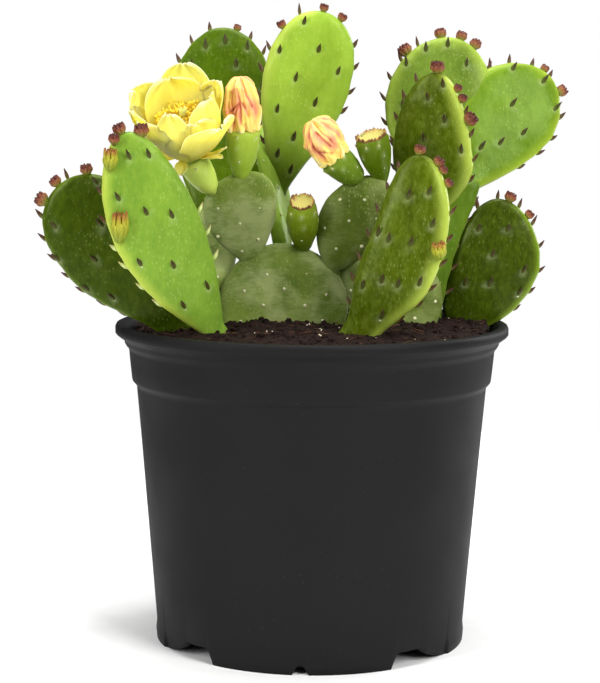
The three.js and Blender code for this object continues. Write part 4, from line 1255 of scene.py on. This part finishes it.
@dataclass(frozen=True)
class PetalShape:
    """One petal: where it stands round the axis and how it rises, all angles in degrees.

    'leave' and 'arrive' are its lean out of the axis at its foot and at its tip, 'point' how
    pointed the tip is (0 to 1), 'fold' how strongly its sides turn in, and 'skew' how far its
    tip is swept sideways.
    """

    turn: float
    leave: float
    arrive: float
    length: float
    width: float
    point: float = 0.0
    fold: float = 0.4
    skew: float = 0.0

    # a petal at least this wide waves in full
    BROAD: ClassVar[float] = 20.0

    def half_width(self, v: float) -> float:
        """Half the petal's width at a share of its length.

        Args:
            v: The share, from its foot.

        Returns:
            Half the width.
        """
        start = 0.62 - 0.18 * self.point
        foot = 0.45 + 0.55 * math.sin(math.pi / 2 * min(v / start, 1.0))
        beyond = max(v - start, 0.0) / (1 - start)
        return self.width / 2 * foot * math.sqrt(max(1 - 0.97 * beyond ** (2.6 - 1.3 * self.point), 0.0))

    def ripple(self, side: float, v: float, seed: float) -> float:
        """How far the petal waves out of its plane at a place.

        Args:
            side: -1 at one edge to 1 at the other.
            v: Share of its length, from its foot.
            seed: What sets its ripples apart.

        Returns:
            The distance inward.
        """
        waves = (
            1.5 * noise.noise(Vector((side * 2.0, v * 2.2, seed)))
            + 1.3 * side * side * math.sin(12 * v + 5 * seed + 2 * side)
            + 1.0 * v**3 * math.sin(9 * side + 4 * seed)
            + 0.5 * noise.noise(Vector((side * 6.0, v * 3.0, seed + 9)))
        )
        return v * waves * min(self.width / self.BROAD, 1.0)


@dataclass
class OpenFlower:
    """The open yellow flower: petals in a cup, narrow outer ones, and a brush of stamens."""

    base: tuple[float, float, float] = (-51, -28, 209.3)
    lean: tuple[float, float, float] = (-0.1, -0.52, 0.85)
    ring: float = 6.0
    wall: float = 0.25
    stamens: int = 200
    petals: tuple[PetalShape, ...] = (
        PetalShape(80, 38, 12, 35, 25, 0.4, 0.3, 3.5),
        PetalShape(114, 36, -4, 31.5, 27, 0.0, 0.35),
        PetalShape(163, 46, 10, 33.5, 28, 0.0, 0.3),
        PetalShape(36, 42, 8, 30, 20, 0.6, 0.35, 1),
        PetalShape(340, 46, -18, 32, 28, 0.0, 0.5, -1),
        PetalShape(314, 52, 26, 28.5, 28, 0.2),
        PetalShape(290, 50, 0, 28, 22, 0.1),
        PetalShape(260, 56, -12, 35, 19, 0.9),
        PetalShape(222, 50, 14, 29, 24, 0.2),
        PetalShape(194, 48, 12, 31, 22, 0.2),
    )
    tepals: tuple[PetalShape, ...] = (
        PetalShape(326, 76, 40, 17, 6, 1, 0.3),
        PetalShape(340, 96, 80, 9, 5, 1, 0.3),
        PetalShape(248, 120, 140, 6, 6, 1, 0.3),
        PetalShape(200, 84, 60, 12, 6, 1, 0.3),
        PetalShape(150, 80, 46, 15, 7, 1, 0.3),
        PetalShape(100, 78, 40, 16, 7, 1, 0.3),
        PetalShape(50, 80, 50, 14, 7, 1, 0.3),
    )

    CUP_PROFILE: ClassVar[tuple] = (
        (0, 0.2), (4.2, 0.2), (5.6, 1.6), (6.5, 3.6), (6.9, 6.2), (6.2, 6.4), (0, 5.4)
    )
    # how high over its foot the flower's stamens start and end
    STAMEN_FOOT: ClassVar[float] = 5.6
    STAMEN_TIP: ClassVar[float] = 22.0
    STIGMA_LENGTH: ClassVar[float] = 17.0
    STIGMA_LOBES: ClassVar[int] = 6

    def __post_init__(self) -> None:
        """Work out the flower's own axes."""
        self.axes = Axes(self.base, Vector(self.lean).normalized())

    def petal(self, bm: bmesh.types.BMesh, shape: PetalShape, seed: float) -> None:
        """Add one petal, a fine grid bent into a spoon with a waved rim.

        Args:
            bm: The mesh that it is added to.
            shape: The petal.
            seed: What sets its ripples apart.
        """
        axis = self.axes.axis
        outward = self.axes.around(math.radians(shape.turn))
        sideways = axis.cross(outward)
        leave, bend = math.radians(shape.leave), math.radians(shape.arrive - shape.leave)
        uv = bm.loops.layers.uv["petal"]
        edge = bm.verts.layers.float["edge"]
        made = bmesh.ops.create_grid(bm, x_segments=16, y_segments=24, size=0.5)
        flat = {}
        for vertex in made["verts"]:
            u, v = vertex.co.x + 0.5, vertex.co.y + 0.5
            flat[vertex] = (u, v)
            side = 2 * u - 1
            half = shape.half_width(v)
            # a shallow notch or a point in the middle of the tip
            run = shape.length * (1 + (0.05 * shape.point - 0.03) * (1 - abs(side)) * v**6)
            lean = leave + bend * v
            out = self.ring + run * (math.cos(leave) - math.cos(lean)) / bend
            rise = 2.0 + run * (math.sin(lean) - math.sin(leave)) / bend
            inward = outward * -math.cos(lean) + axis * math.sin(lean)
            vertex[edge] = gathered(max(0.72 * v**0.8, v**5, abs(side) ** 5 * v**0.5))
            wrap = shape.fold * half * side * side
            across = half * side + shape.skew * v * v
            spot = self.axes.foot + axis * rise + outward * out
            vertex.co = spot + inward * (wrap + shape.ripple(side, v, seed)) + sideways * across
        for face in {face for vertex in made["verts"] for face in vertex.link_faces}:
            for loop in face.loops:
                loop[uv].uv = flat[loop.vert]

    def dress(self) -> None:
        """Build the petals, the cup and the stamens."""
        bm = bmesh.new()
        bm.loops.layers.uv.new("petal")
        bm.verts.layers.float.new("edge")
        for i, shape in enumerate(self.petals + self.tepals):
            self.petal(bm, shape, 1.7 * i + 0.3)
        piece = settle(bm, "flower_petals_yellow", PETAL, "petal", "flower_petals")
        wall = piece.modifiers.new("thickness", "SOLIDIFY")
        wall.thickness = self.wall * MM
        wall.offset = 0
        smooth = piece.modifiers.new("smooth", "SUBSURF")
        smooth.levels = smooth.render_levels = 1
        self.build_cup()
        self.build_stamens()
        self.build_stigma()

    def build_cup(self) -> None:
        """The green-yellow cup that the petals stand in."""
        cup = Flesh()
        spin_profile(cup.bm, self.CUP_PROFILE, 40)
        for vertex in cup.bm.verts:
            vertex[cup.tip] = gathered(vertex.co.z / 6.0)
        stand = Matrix.Translation(self.axes.foot) @ orient(self.axes.axis)
        bmesh.ops.transform(cup.bm, matrix=stand, verts=cup.bm.verts)
        settle(cup.bm, "flower_cup", CUP, "petal")

    def build_stamens(self) -> None:
        """A brush of filaments with anthers on them."""
        foot, axis = self.axes.foot, self.axes.axis
        brush = Flesh()
        golden = math.pi * (3 - math.sqrt(5))
        for i in range(self.stamens):
            share = math.sqrt((i + 0.5) / self.stamens)
            side = self.axes.around(i * golden)
            low = foot + axis * self.STAMEN_FOOT + side * (1.8 + 3.2 * share)
            rise = self.STAMEN_TIP + CHANCE.uniform(-1.8, 2.2) - 2.2 * share
            high = foot + axis * rise + side * (0.8 + 11.0 * share)
            run = high - low
            made = bmesh.ops.create_cone(
                brush.bm, segments=4, radius1=0.22, radius2=0.18, depth=run.length,
                matrix=Matrix.Translation((low + high) / 2) @ orient(run.normalized()),
            )
            for vertex in made["verts"]:
                vertex[brush.tip] = 0.1 + 0.5 * gathered((vertex.co - low).length / run.length)
            lean = (run.normalized() + Vector([CHANCE.uniform(-0.5, 0.5) for _ in range(3)])).normalized()
            matrix = Matrix.Translation(high) @ orient(lean) @ Matrix.Diagonal((1, 1, 1.7, 1))
            made = bmesh.ops.create_icosphere(brush.bm, subdivisions=1, radius=0.5, matrix=matrix)
            for vertex in made["verts"]:
                vertex[brush.tip] = CHANCE.uniform(0.75, 1.0)
        settle(brush.bm, "flower_stamens_brush", POLLEN, "stamen", "flower_stamens")

    def build_stigma(self) -> None:
        """The stigma in the middle: a stalk that ends in a few plump lobes."""
        foot, axis = self.axes.foot, self.axes.axis
        stigma = Flesh()
        bmesh.ops.create_cone(
            stigma.bm, cap_ends=True, segments=10, radius1=1.1, radius2=0.9, depth=self.STIGMA_LENGTH,
            matrix=Matrix.Translation(foot + axis * 13.0) @ orient(axis),
        )
        for i in range(self.STIGMA_LOBES):
            side = self.axes.around(i / self.STIGMA_LOBES * 2 * math.pi)
            stigma.leaf(foot + axis * 20.6 + side * 0.6, (axis + side * 0.35).normalized(), 3.6, 0.9, axis)
        settle(stigma.bm, "flower_stigma", STIGMA, "stamen")


@dataclass
class WitheredFlower:
    """A flower that has closed and dried: a bag of crumpled petals with deep creases.

    A crease is a line of (degrees from the front, share of the height) points; it is repeated
    round the back.
    """

    name: str
    base: tuple[float, float, float]
    tip: tuple[float, float, float]
    radius: float
    creases: tuple[tuple[tuple[float, float], ...], ...]
    teeth: float = 0.3
    lobes: int = 9
    scales: int = 7

    SIDES: ClassVar[int] = 132
    RINGS: ClassVar[int] = 72
    # the turn of each copy of the creases, and how far it is stretched sideways
    COPIES: ClassVar[tuple] = ((0, 1.0), (118, -0.9), (-124, 0.8))

    def __post_init__(self) -> None:
        """Work out the flower's own axes and its creases in millimetres round and up the bag."""
        axis = Vector(self.tip) - Vector(self.base)
        self.length = axis.length
        axis.normalize()
        self.axes = Axes(self.base, axis)
        self.lines = []
        for turn, stretch in self.COPIES:
            for line in self.creases:
                spots = [(math.radians(turn + stretch * a) * self.radius, up * self.length) for a, up in line]
                self.lines.extend(zip(spots, spots[1:]))

    def crease(self, angle: float, up: float) -> float:
        """How deep in a crease a place is.

        Args:
            angle: Radians from the front, growing to the right.
            up: Share of the height.

        Returns:
            1 in the crease's bottom, fading to 0 beside it.
        """
        girth = 2 * math.pi * self.radius
        best = math.inf
        for (x0, z0), (x1, z1) in self.lines:
            run_x, run_z = x1 - x0, z1 - z0
            x = (angle * self.radius - x0 + girth / 2) % girth - girth / 2
            z = up * self.length - z0
            share = gathered((x * run_x + z * run_z) / (run_x * run_x + run_z * run_z))
            best = min(best, math.hypot(x - share * run_x, z - share * run_z))
        return math.exp(-((best / 0.5) ** 1.2))

    def surface(self, angle: float, up: float) -> tuple[Vector, float]:
        """A place of the bag and the tone there.

        Args:
            angle: Radians from the front, growing to the right.
            up: Share of the height.

        Returns:
            The place in millimetres and the tone that its colour follows.
        """
        turn = Vector((math.cos(angle), math.sin(angle), 0.0))
        seed = self.radius * 3
        deep = self.crease(angle, up)
        hang = max(1 - up / 0.3, 0.0)
        crown = gathered((up - 0.62) / 0.3)
        lobe = abs(math.cos(self.lobes / 2 * angle + 0.4))
        fold = math.cos(3 * angle + 0.5)
        girth = (0.76 + 0.32 * math.sin(math.pi * (0.14 + 0.72 * up))) * (1 - 0.16 * crown)
        girth *= 1 + 0.09 * (lobe - 0.5) * hang + 0.13 * fold * crown
        girth += 0.12 * noise.noise(turn * 2.2 + Vector((0, 0, up * 1.8 + seed))) * min(up * 5, 1.0)
        girth += 0.1 * noise.noise(turn * 5.0 + Vector((0, 0, up * 5.0 + seed))) * min(up * 3, 1.0)
        girth += 0.035 * math.sin(26 * angle + 5 * noise.noise(Vector((0, up * 3, seed)))) * (1 - hang)
        # pleats that twist as they rise
        pleat = math.cos(8 * angle + 2.4 * up + 2.5 * noise.noise(turn * 1.6 + Vector((0, 0, up * 2 + seed))))
        girth += 0.07 * pleat * min(up * 4, 1.0)
        girth -= 0.16 * deep
        closing = min(up / 0.07, 1.0) ** 0.5 * max(1 - max(up - 0.84, 0.0) / 0.16, 0.0) ** 0.34
        lift = up * self.length - 1.5 * lobe * hang * (up > 0.02) + 2.4 * (abs(fold) - 0.5) * crown
        lift += self.teeth * abs((angle * 9 / math.pi) % 2 - 1) * crown
        reach = self.radius * girth * closing
        # the tone runs from yellow low down to peach higher up, as the dried petals are; in the creases and the
        # pleats' hollows it is darker and redder, partly their own colour and partly painted shade
        tone = 0.86 - 0.36 * gathered((up - 0.08) / 0.45) + 0.08 * crown - 0.36 * deep
        tone += 0.4 * noise.noise(turn * 3.1 + Vector((0, 0, up * 2.4 - seed))) - 0.12 * max(-pleat, 0.0)
        outward = self.axes.right * math.sin(angle) - self.axes.back * math.cos(angle)
        return self.axes.foot + self.axes.axis * lift + outward * reach, gathered(tone)

    def dress(self) -> None:
        """Build the crumpled bag and the dry scales at its foot."""
        foot, axis = self.axes.foot, self.axes.axis
        bag = Flesh()
        made = bmesh.ops.create_uvsphere(bag.bm, u_segments=self.SIDES, v_segments=self.RINGS, radius=1.0)
        for vertex in made["verts"]:
            x, y, z = vertex.co
            up = 1 - math.acos(gathered(z, -1.0)) / math.pi
            vertex.co, vertex[bag.tip] = self.surface(math.atan2(y, x), up)
        for i in range(self.scales):
            side = self.axes.around(i / self.scales * 2 * math.pi + CHANCE.uniform(-0.2, 0.2))
            way = side * CHANCE.uniform(0.5, 1.2) + axis * CHANCE.uniform(0.2, 0.9)
            place = foot + side * (self.radius * 0.8)
            for vertex in bag.leaf(place, way.normalized(), CHANCE.uniform(2.0, 4.2), 0.6, axis):
                vertex[bag.tip] = 0.6 + 0.2 * vertex[bag.tip]
        bmesh.ops.recalc_face_normals(bag.bm, faces=bag.bm.faces)
        settle(bag.bm, f"{self.name}_petals", WITHERED_PETAL, "withered_petal", self.name)


WITHERED = (
    WitheredFlower(
        "withered_flower_left", (-29.3, -21.8, 220.2), (-30.6, -25, 241.8), 7.1,
        (
            ((-1, 0.62), (-22, 0.5), (-44, 0.42)),
            ((-1, 0.62), (-16, 0.44), (-34, 0.2), (-40, 0.08)),
            ((-1, 0.62), (-3, 0.45), (-6, 0.22)),
            ((-1, 0.62), (14, 0.5), (24, 0.34)),
            ((-1, 0.62), (-6, 0.7), (-10, 0.82)),
            ((18, 0.98), (24, 0.72), (40, 0.5)),
            ((16, 0.0), (12, 0.12), (8, 0.18)),
        ),
    ),
    WitheredFlower(
        "withered_flower_right", (9, -21.8, 209.4), (0.2, -26, 223.4), 7.5,
        (
            ((-40, 0.9), (-32, 0.55), (-24, 0.3), (-20, 0.04)),
            ((14, 0.92), (26, 0.62), (32, 0.3)),
            ((4, 0.8), (12, 0.6), (18, 0.42)),
            ((-24, 0.42), (-4, 0.36), (10, 0.24)),
            ((28, 0.02), (34, 0.16), (44, 0.3)),
            ((-62, 0.8), (-54, 0.45)),
        ),
        teeth=1.2,
    ),
)


# ------------------------------------------------------------------ soil


@dataclass
class Soil:
    """The peat that fills the pot: the CAD's body, under a crumbly surface with fibres and grit.

    Each heap is a place, how wide it is in each direction, and how tall.
    """

    radius: float = 77.0
    edge_level: float = 135.6
    crown: float = 1.9
    heaps: tuple = ((-16, -24, 22, 12, 2.6), (60, -4, 25, 25, 1.4))
    grid: int = 190
    crumbs: int = 1500
    # one crumb in so many is a pale grain
    grain_every: int = 23
    fibres: int = 150
    fibre_steps: int = 4

    def level(self, x: float, y: float) -> float:
        """The height of the CAD's soil at a place.

        Args:
            x: The place's distance to the right.
            y: Its distance to the back.

        Returns:
            The height.
        """
        share = min(math.hypot(x, y) / self.radius, 1.0)
        lumps = 0.5 * math.sin(0.31 * x + 0.17 * y) * math.sin(0.27 * y - 0.11 * x)
        height = self.edge_level + (self.crown + lumps) * (1 - share**6)
        for at_x, at_y, wide_x, wide_y, tall in self.heaps:
            height += tall * math.exp(-(((x - at_x) / wide_x) ** 2) - ((y - at_y) / wide_y) ** 2)
        return height

    def rough(self, x: float, y: float) -> float:
        """The height of the crumbly surface at a place."""
        clods = max(noise.fractal(Vector((x, y, 0.0)) / 5.5, 0.9, 2.2, 4), -0.7)
        return self.level(x, y) + 0.7 + 1.1 * clods

    def dress(self) -> None:
        """Build the surface, and what lies on it."""
        body = FRAME["nodes"]["soil"]
        body.data.materials.clear()
        body.data.materials.append(PEAT.material())
        bm = bmesh.new()
        bmesh.ops.create_grid(bm, x_segments=self.grid, y_segments=self.grid, size=self.radius + 0.4)
        outside = [v for v in bm.verts if math.hypot(v.co.x, v.co.y) > self.radius + 0.3]
        bmesh.ops.delete(bm, geom=outside, context="VERTS")
        for vertex in bm.verts:
            vertex.co.z = self.rough(vertex.co.x, vertex.co.y)
        settle(bm, "soil_surface", PEAT, "soil")
        crumbs, grains, fibres = bmesh.new(), bmesh.new(), bmesh.new()
        for i in range(self.crumbs):
            self.crumb(i, crumbs, grains)
        for _ in range(self.fibres):
            angle = CHANCE.uniform(0, 2 * math.pi)
            reach = self.radius * 0.97 * math.sqrt(CHANCE.random())
            x, y = reach * math.cos(angle), reach * math.sin(angle)
            self.fibre(fibres, Vector((x, y, self.rough(x, y) + 0.3)))
        settle(crumbs, "soil_crumbs", PEAT, "soil", smooth=False)
        settle(grains, "soil_grains", GRIT, "soil", smooth=False)
        settle(fibres, "soil_fibres", FIBRE, "soil")

    def crumb(self, i: int, crumbs: bmesh.types.BMesh, grains: bmesh.types.BMesh) -> None:
        """Add one crumb of peat or one pale grain that lies on the soil.

        Args:
            i: The crumb's number.
            crumbs: The mesh of the crumbs.
            grains: The mesh of the grains.
        """
        angle = CHANCE.uniform(0, 2 * math.pi)
        reach = self.radius * math.sqrt(CHANCE.uniform(0, 0.985))
        x, y = reach * math.cos(angle), reach * math.sin(angle)
        pale = i % self.grain_every == 0
        size = CHANCE.uniform(0.3, 0.7) if pale else 0.45 + 1.5 * CHANCE.random() ** 3
        matrix = (
            Matrix.Translation((x, y, self.rough(x, y) + 0.2 * size))
            @ Matrix.Rotation(angle * 7, 4, Vector((math.sin(i), math.cos(i), 0.4)).normalized())
            @ Matrix.Diagonal((1, CHANCE.uniform(0.6, 1), CHANCE.uniform(0.5, 0.9), 1))
        )
        made = bmesh.ops.create_icosphere(
            grains if pale else crumbs, subdivisions=2 if size > 1.2 else 1, radius=size, matrix=matrix
        )
        for vertex in made["verts"]:
            vertex.co += Vector([CHANCE.uniform(-0.16, 0.16) * size for _ in range(3)])

    def fibre(self, bm: bmesh.types.BMesh, place: Vector) -> None:
        """Add one bent fibre that lies on the soil.

        Args:
            bm: The mesh that it is added to.
            place: Its middle.
        """
        length = CHANCE.uniform(3, 9)
        heading = CHANCE.uniform(0, 2 * math.pi)
        way = Vector((math.cos(heading), math.sin(heading), CHANCE.uniform(-0.05, 0.25))).normalized()
        bend = Vector((-way.y, way.x, 0.3)) * CHANCE.uniform(-0.12, 0.12)
        girth = CHANCE.uniform(0.1, 0.2)
        for i in range(self.fibre_steps):
            low = (i / self.fibre_steps - 0.5) * length
            high = ((i + 1) / self.fibre_steps - 0.5) * length
            start = place + way * low + bend * (low * low / length * 2)
            end = place + way * high + bend * (high * high / length * 2)
            run = end - start
            bmesh.ops.create_cone(
                bm, segments=4, radius1=girth, radius2=girth, depth=run.length * 1.1,
                matrix=Matrix.Translation((start + end) / 2) @ orient(run.normalized()),
            )


# ------------------------------------------------------------------ pot


@dataclass
class NurseryPot:
    """The round nursery pot: rolled rim, stepped collar, tapered body and a cut-out foot ring."""

    height: float = 138.0
    rim_radius: float = 85.0
    lip_height: float = 4.7
    lip_width: float = 4.6
    collar_top: float = 79.1
    collar_foot: float = 77.9
    collar_level: float = 113.9
    body_top: float = 75.8
    body_level: float = 111.7
    body_foot: float = 67.3
    wall: float = 1.6
    floor_level: float = 7.1
    foot_radius: float = 66.4
    foot_width: float = 2.4
    turn: float = -3.2
    cut_turn: float = 48.0
    side_span: float = 27.0
    drains: int = 7
    drain_radius: float = 5.0
    drain_reach: float = 46.0
    sides: int = 720

    # the notch in the middle of each skirt: half its width, how wide its slope is, and its height
    NOTCH: ClassVar[tuple[float, float, float]] = (3.5, 2.2, 3.8)
    # across the gap between skirts: its left end, where it is fully open, and its curved right end
    GAP: ClassVar[tuple[float, float, float, float]] = (-16.2, -13.7, -1.5, 17.3)
    # the point that the curve is drawn to, across and up
    PULL: ClassVar[tuple[float, float]] = (4.0, 1.2)

    def outline(self) -> list[tuple[float, float]]:
        """The wall's outline from the rim's inner edge out and down to the foot, then up inside it.

        Returns:
            Radius and height pairs.
        """
        top, rim, foot = self.height, self.rim_radius, self.foot_radius
        lip = top - self.lip_height
        lip_in = rim - self.lip_width
        collar = self.collar_level
        points = [
            (lip_in, top - 1.2), (lip_in + 0.35, top - 0.35), (lip_in + 1.2, top), (rim - 1.4, top),
            (rim - 0.45, top - 0.4), (rim, top - 1.4), (rim, lip + 0.9), (rim - 0.5, lip + 0.3),
            (81.6, lip - 1.9), (81.1, lip - 2.6), (81.0, lip - 3.5), (80.4, lip - 4.6), (79.4, 127.6),
            (self.collar_top, 126.4), (78.5, 120.0), (self.collar_foot, collar + 0.4), (77.7, collar - 0.4),
            (76.9, 112.6), (76.1, self.body_level), (self.body_top, self.body_level - 1.2),
        ]
        for share in (0.2, 0.4, 0.6, 0.8):
            radius = self.body_top + (self.body_foot - self.body_top) * share
            points.append((radius, self.body_level * (1 - share) + self.floor_level * share))
        return points + [
            (self.body_foot, self.floor_level), (foot + 0.3, 3.5), (foot, 0.0),
            (foot - self.foot_width, 0.0), (foot - self.foot_width + 0.6, self.floor_level),
        ]

    def gap_height(self, degrees: float) -> float:
        """How far above the ground the foot ring's lower edge is at an angle from the front.

        Args:
            degrees: Angle from the middle of the front skirt.

        Returns:
            The height of the cut there.
        """
        away = abs((degrees + 90) % 180 - 90)
        level = self.floor_level - 0.4
        middle = self.foot_radius * math.sin(math.radians(away))
        half, slope, tall = self.NOTCH
        notch = gathered((half - middle) / slope * tall, 0.0, tall)
        x = self.foot_radius * math.sin(math.radians(away - self.cut_turn))
        left, opened, bent, right = self.GAP
        if left < x <= opened:
            return max(notch, level * (x - left) / (opened - left))
        if opened < x <= bent:
            return level
        if bent < x < right:
            # a quadratic curve from the gap's full height by the pulling point to the ground
            across, up = self.PULL
            a, b, c = bent - 2 * across + right, 2 * (across - bent), bent - x
            t = (-b + math.sqrt(b * b - 4 * a * c)) / (2 * a)
            return (1 - t) ** 2 * level + 2 * t * (1 - t) * up
        return notch

    def dress(self) -> None:
        """Build the wall with its cut foot and the floor, and the drain holes."""
        bm = bmesh.new()
        floor, wall = self.floor_level, self.wall
        inner = [
            (0.0, floor), (0.0, floor + wall),
            (self.body_foot - wall, floor + wall), (self.body_top - wall, self.body_level),
            (self.collar_foot - wall, self.collar_level), (self.collar_top - wall, 130.0),
            (self.collar_top - wall, self.height - self.lip_height),
            (self.rim_radius - self.lip_width, self.height - 1.2),
        ]
        spin_profile(bm, self.outline() + inner, self.sides)
        for vertex in bm.verts:
            if vertex.co.z < floor - 0.05 and math.hypot(vertex.co.x, vertex.co.y) > 60:
                self.cut_foot(vertex)
        turned = Matrix.Rotation(math.radians(self.turn), 3, "Z")
        bmesh.ops.rotate(bm, cent=(0, 0, 0), matrix=turned, verts=bm.verts)
        bmesh.ops.recalc_face_normals(bm, faces=bm.faces)
        settle(bm, "pot_shell", PLASTIC, "pot_plastic", "pot")
        self.build_drains()

    def cut_foot(self, vertex: bmesh.types.BMVert) -> None:
        """Lift a vertex of the foot ring to the cut's edge, and move it out at the side feet.

        Args:
            vertex: The vertex.
        """
        degrees = math.degrees(math.atan2(vertex.co.x, -vertex.co.y))
        vertex.co.z = max(vertex.co.z, self.gap_height(degrees))
        away = abs(abs(degrees) - 90)
        if away < self.side_span:
            share = min((self.side_span - away) / 1.2, 1.0)
            reach = math.hypot(vertex.co.x, vertex.co.y)
            outward = 1.0 if reach > self.foot_radius - 1 else 0.0
            grown = (reach + share * outward) / reach
            vertex.co.x *= grown
            vertex.co.y *= grown

    def build_drains(self) -> None:
        """The drain holes in the floor, seen from below: a ring of them and one in the middle."""
        bm = bmesh.new()
        ring = self.drains - 1
        for i in range(self.drains):
            reach = self.drain_reach if i < ring else 0.0
            angle = i / ring * 2 * math.pi + math.radians(self.turn)
            place = (reach * math.cos(angle), reach * math.sin(angle), self.floor_level - 0.1)
            bmesh.ops.create_cone(
                bm, cap_ends=True, segments=40, radius1=self.drain_radius, radius2=self.drain_radius,
                depth=0.3, matrix=Matrix.Translation(place),
            )
        settle(bm, "pot_drain_holes", PEAT, "pot_plastic", smooth=False)


# ------------------------------------------------------------------ the whole


@dataclass
class Studio:
    """The camera, the soft lights, the world and the pale floor."""

    eye: tuple[float, float, float] = (0.0, -820.0, 229.18)
    pitch: float = 6.937
    yaw: float = 0.3556
    roll: float = 0.381
    lens: float = 100.1
    floor_radius: float = 550.0
    # how bright the room is to the object, and what is behind it to the camera
    room: float = 0.1
    paper: float = 1.0

    # each light's name, place, size, power in watts and the point that it faces, all in metres
    LIGHTS: ClassVar[tuple] = (
        ("key_right", (0.8, -0.95, 0.85), (0.6, 0.9), 22, (0, 0, 0.17)),
        ("strip_left", (-0.9, -0.75, 0.6), (0.22, 0.9), 12, (0, 0, 0.18)),
        ("top", (0.0, 0.05, 1.2), (0.8, 0.6), 13, (0, 0, 0.2)),
        ("back_right", (0.8, 0.6, 0.5), (0.4, 0.8), 6, (0.03, 0, 0.2)),
    )

    def set_camera(self) -> None:
        """Place the camera at the photograph's viewing angle."""
        pitch, yaw, roll = (math.radians(a) for a in (self.pitch, self.yaw, self.roll))
        level = Vector((math.cos(yaw), math.sin(yaw), 0))
        ahead = Vector((-math.sin(yaw), math.cos(yaw), 0))
        forward = ahead * math.cos(pitch) + Vector((0, 0, -math.sin(pitch)))
        rising = ahead * math.sin(pitch) + Vector((0, 0, math.cos(pitch)))
        right = level * math.cos(roll) + rising * math.sin(roll)
        up = rising * math.cos(roll) - level * math.sin(roll)
        camera = bpy.data.objects.new("camera", bpy.data.cameras.new("camera"))
        bpy.context.scene.collection.objects.link(camera)
        camera.data.lens = self.lens
        camera.data.sensor_width = 36.0
        camera.data.clip_start = 0.01
        turn = Matrix((right, up, -forward)).transposed().to_4x4()
        camera.matrix_world = Matrix.Translation(Vector(self.eye) * MM) @ turn
        bpy.context.scene.camera = camera

    def add_light(
        self, name: str, place: Sequence[float], size: Sequence[float], power: float, aim: Sequence[float]
    ) -> None:
        """Add one soft area light.

        Args:
            name: The light's name.
            place: Where it is.
            size: Its width and height.
            power: Its power.
            aim: The point that it faces.
        """
        data = bpy.data.lights.new(name, "AREA")
        data.shape = "RECTANGLE"
        data.size, data.size_y = size
        data.energy = power
        light = bpy.data.objects.new(name, data)
        bpy.context.scene.collection.objects.link(light)
        turn = (Vector(aim) - Vector(place)).to_track_quat("-Z", "Y").to_matrix().to_4x4()
        light.matrix_world = Matrix.Translation(place) @ turn

    def set_world(self) -> None:
        """Make a dim room that looks white behind the object, as on a lit paper sweep."""
        world = bpy.data.worlds.new("studio")
        bpy.context.scene.world = world
        world.use_nodes = True
        tree = world.node_tree
        tree.nodes.clear()
        room, paper = (
            add_node(tree, "Background", {"Color": (1, 1, 1, 1), "Strength": strength})
            for strength in (self.room, self.paper)
        )
        camera = add_node(tree, "LightPath", {}).outputs["Is Camera Ray"]
        seen = add_node(tree, "MixShader", {0: camera, 1: room.outputs[0], 2: paper.outputs[0]})
        add_node(tree, "OutputWorld", {"Surface": seen.outputs[0]})

    def build(self) -> None:
        """Set the camera, the lights, the world and the floor."""
        self.set_camera()
        for light in self.LIGHTS:
            self.add_light(*light)
        self.set_world()
        bm = bmesh.new()
        bmesh.ops.create_circle(bm, cap_ends=True, segments=96, radius=self.floor_radius)
        place_mesh(bm, "floor", PAPER, smooth=False)
        bpy.context.scene.view_settings.view_transform = "Standard"


def main() -> None:
    """Set the studio and build the pieces in order."""
    logging.basicConfig(level=logging.INFO, format="%(message)s")
    Studio().build()
    for part in (NurseryPot(), Soil(), *PADS, *OVARIES, OpenFlower(), *WITHERED):
        part.dress()


if __name__ == "__main__":
    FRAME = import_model()
    main()
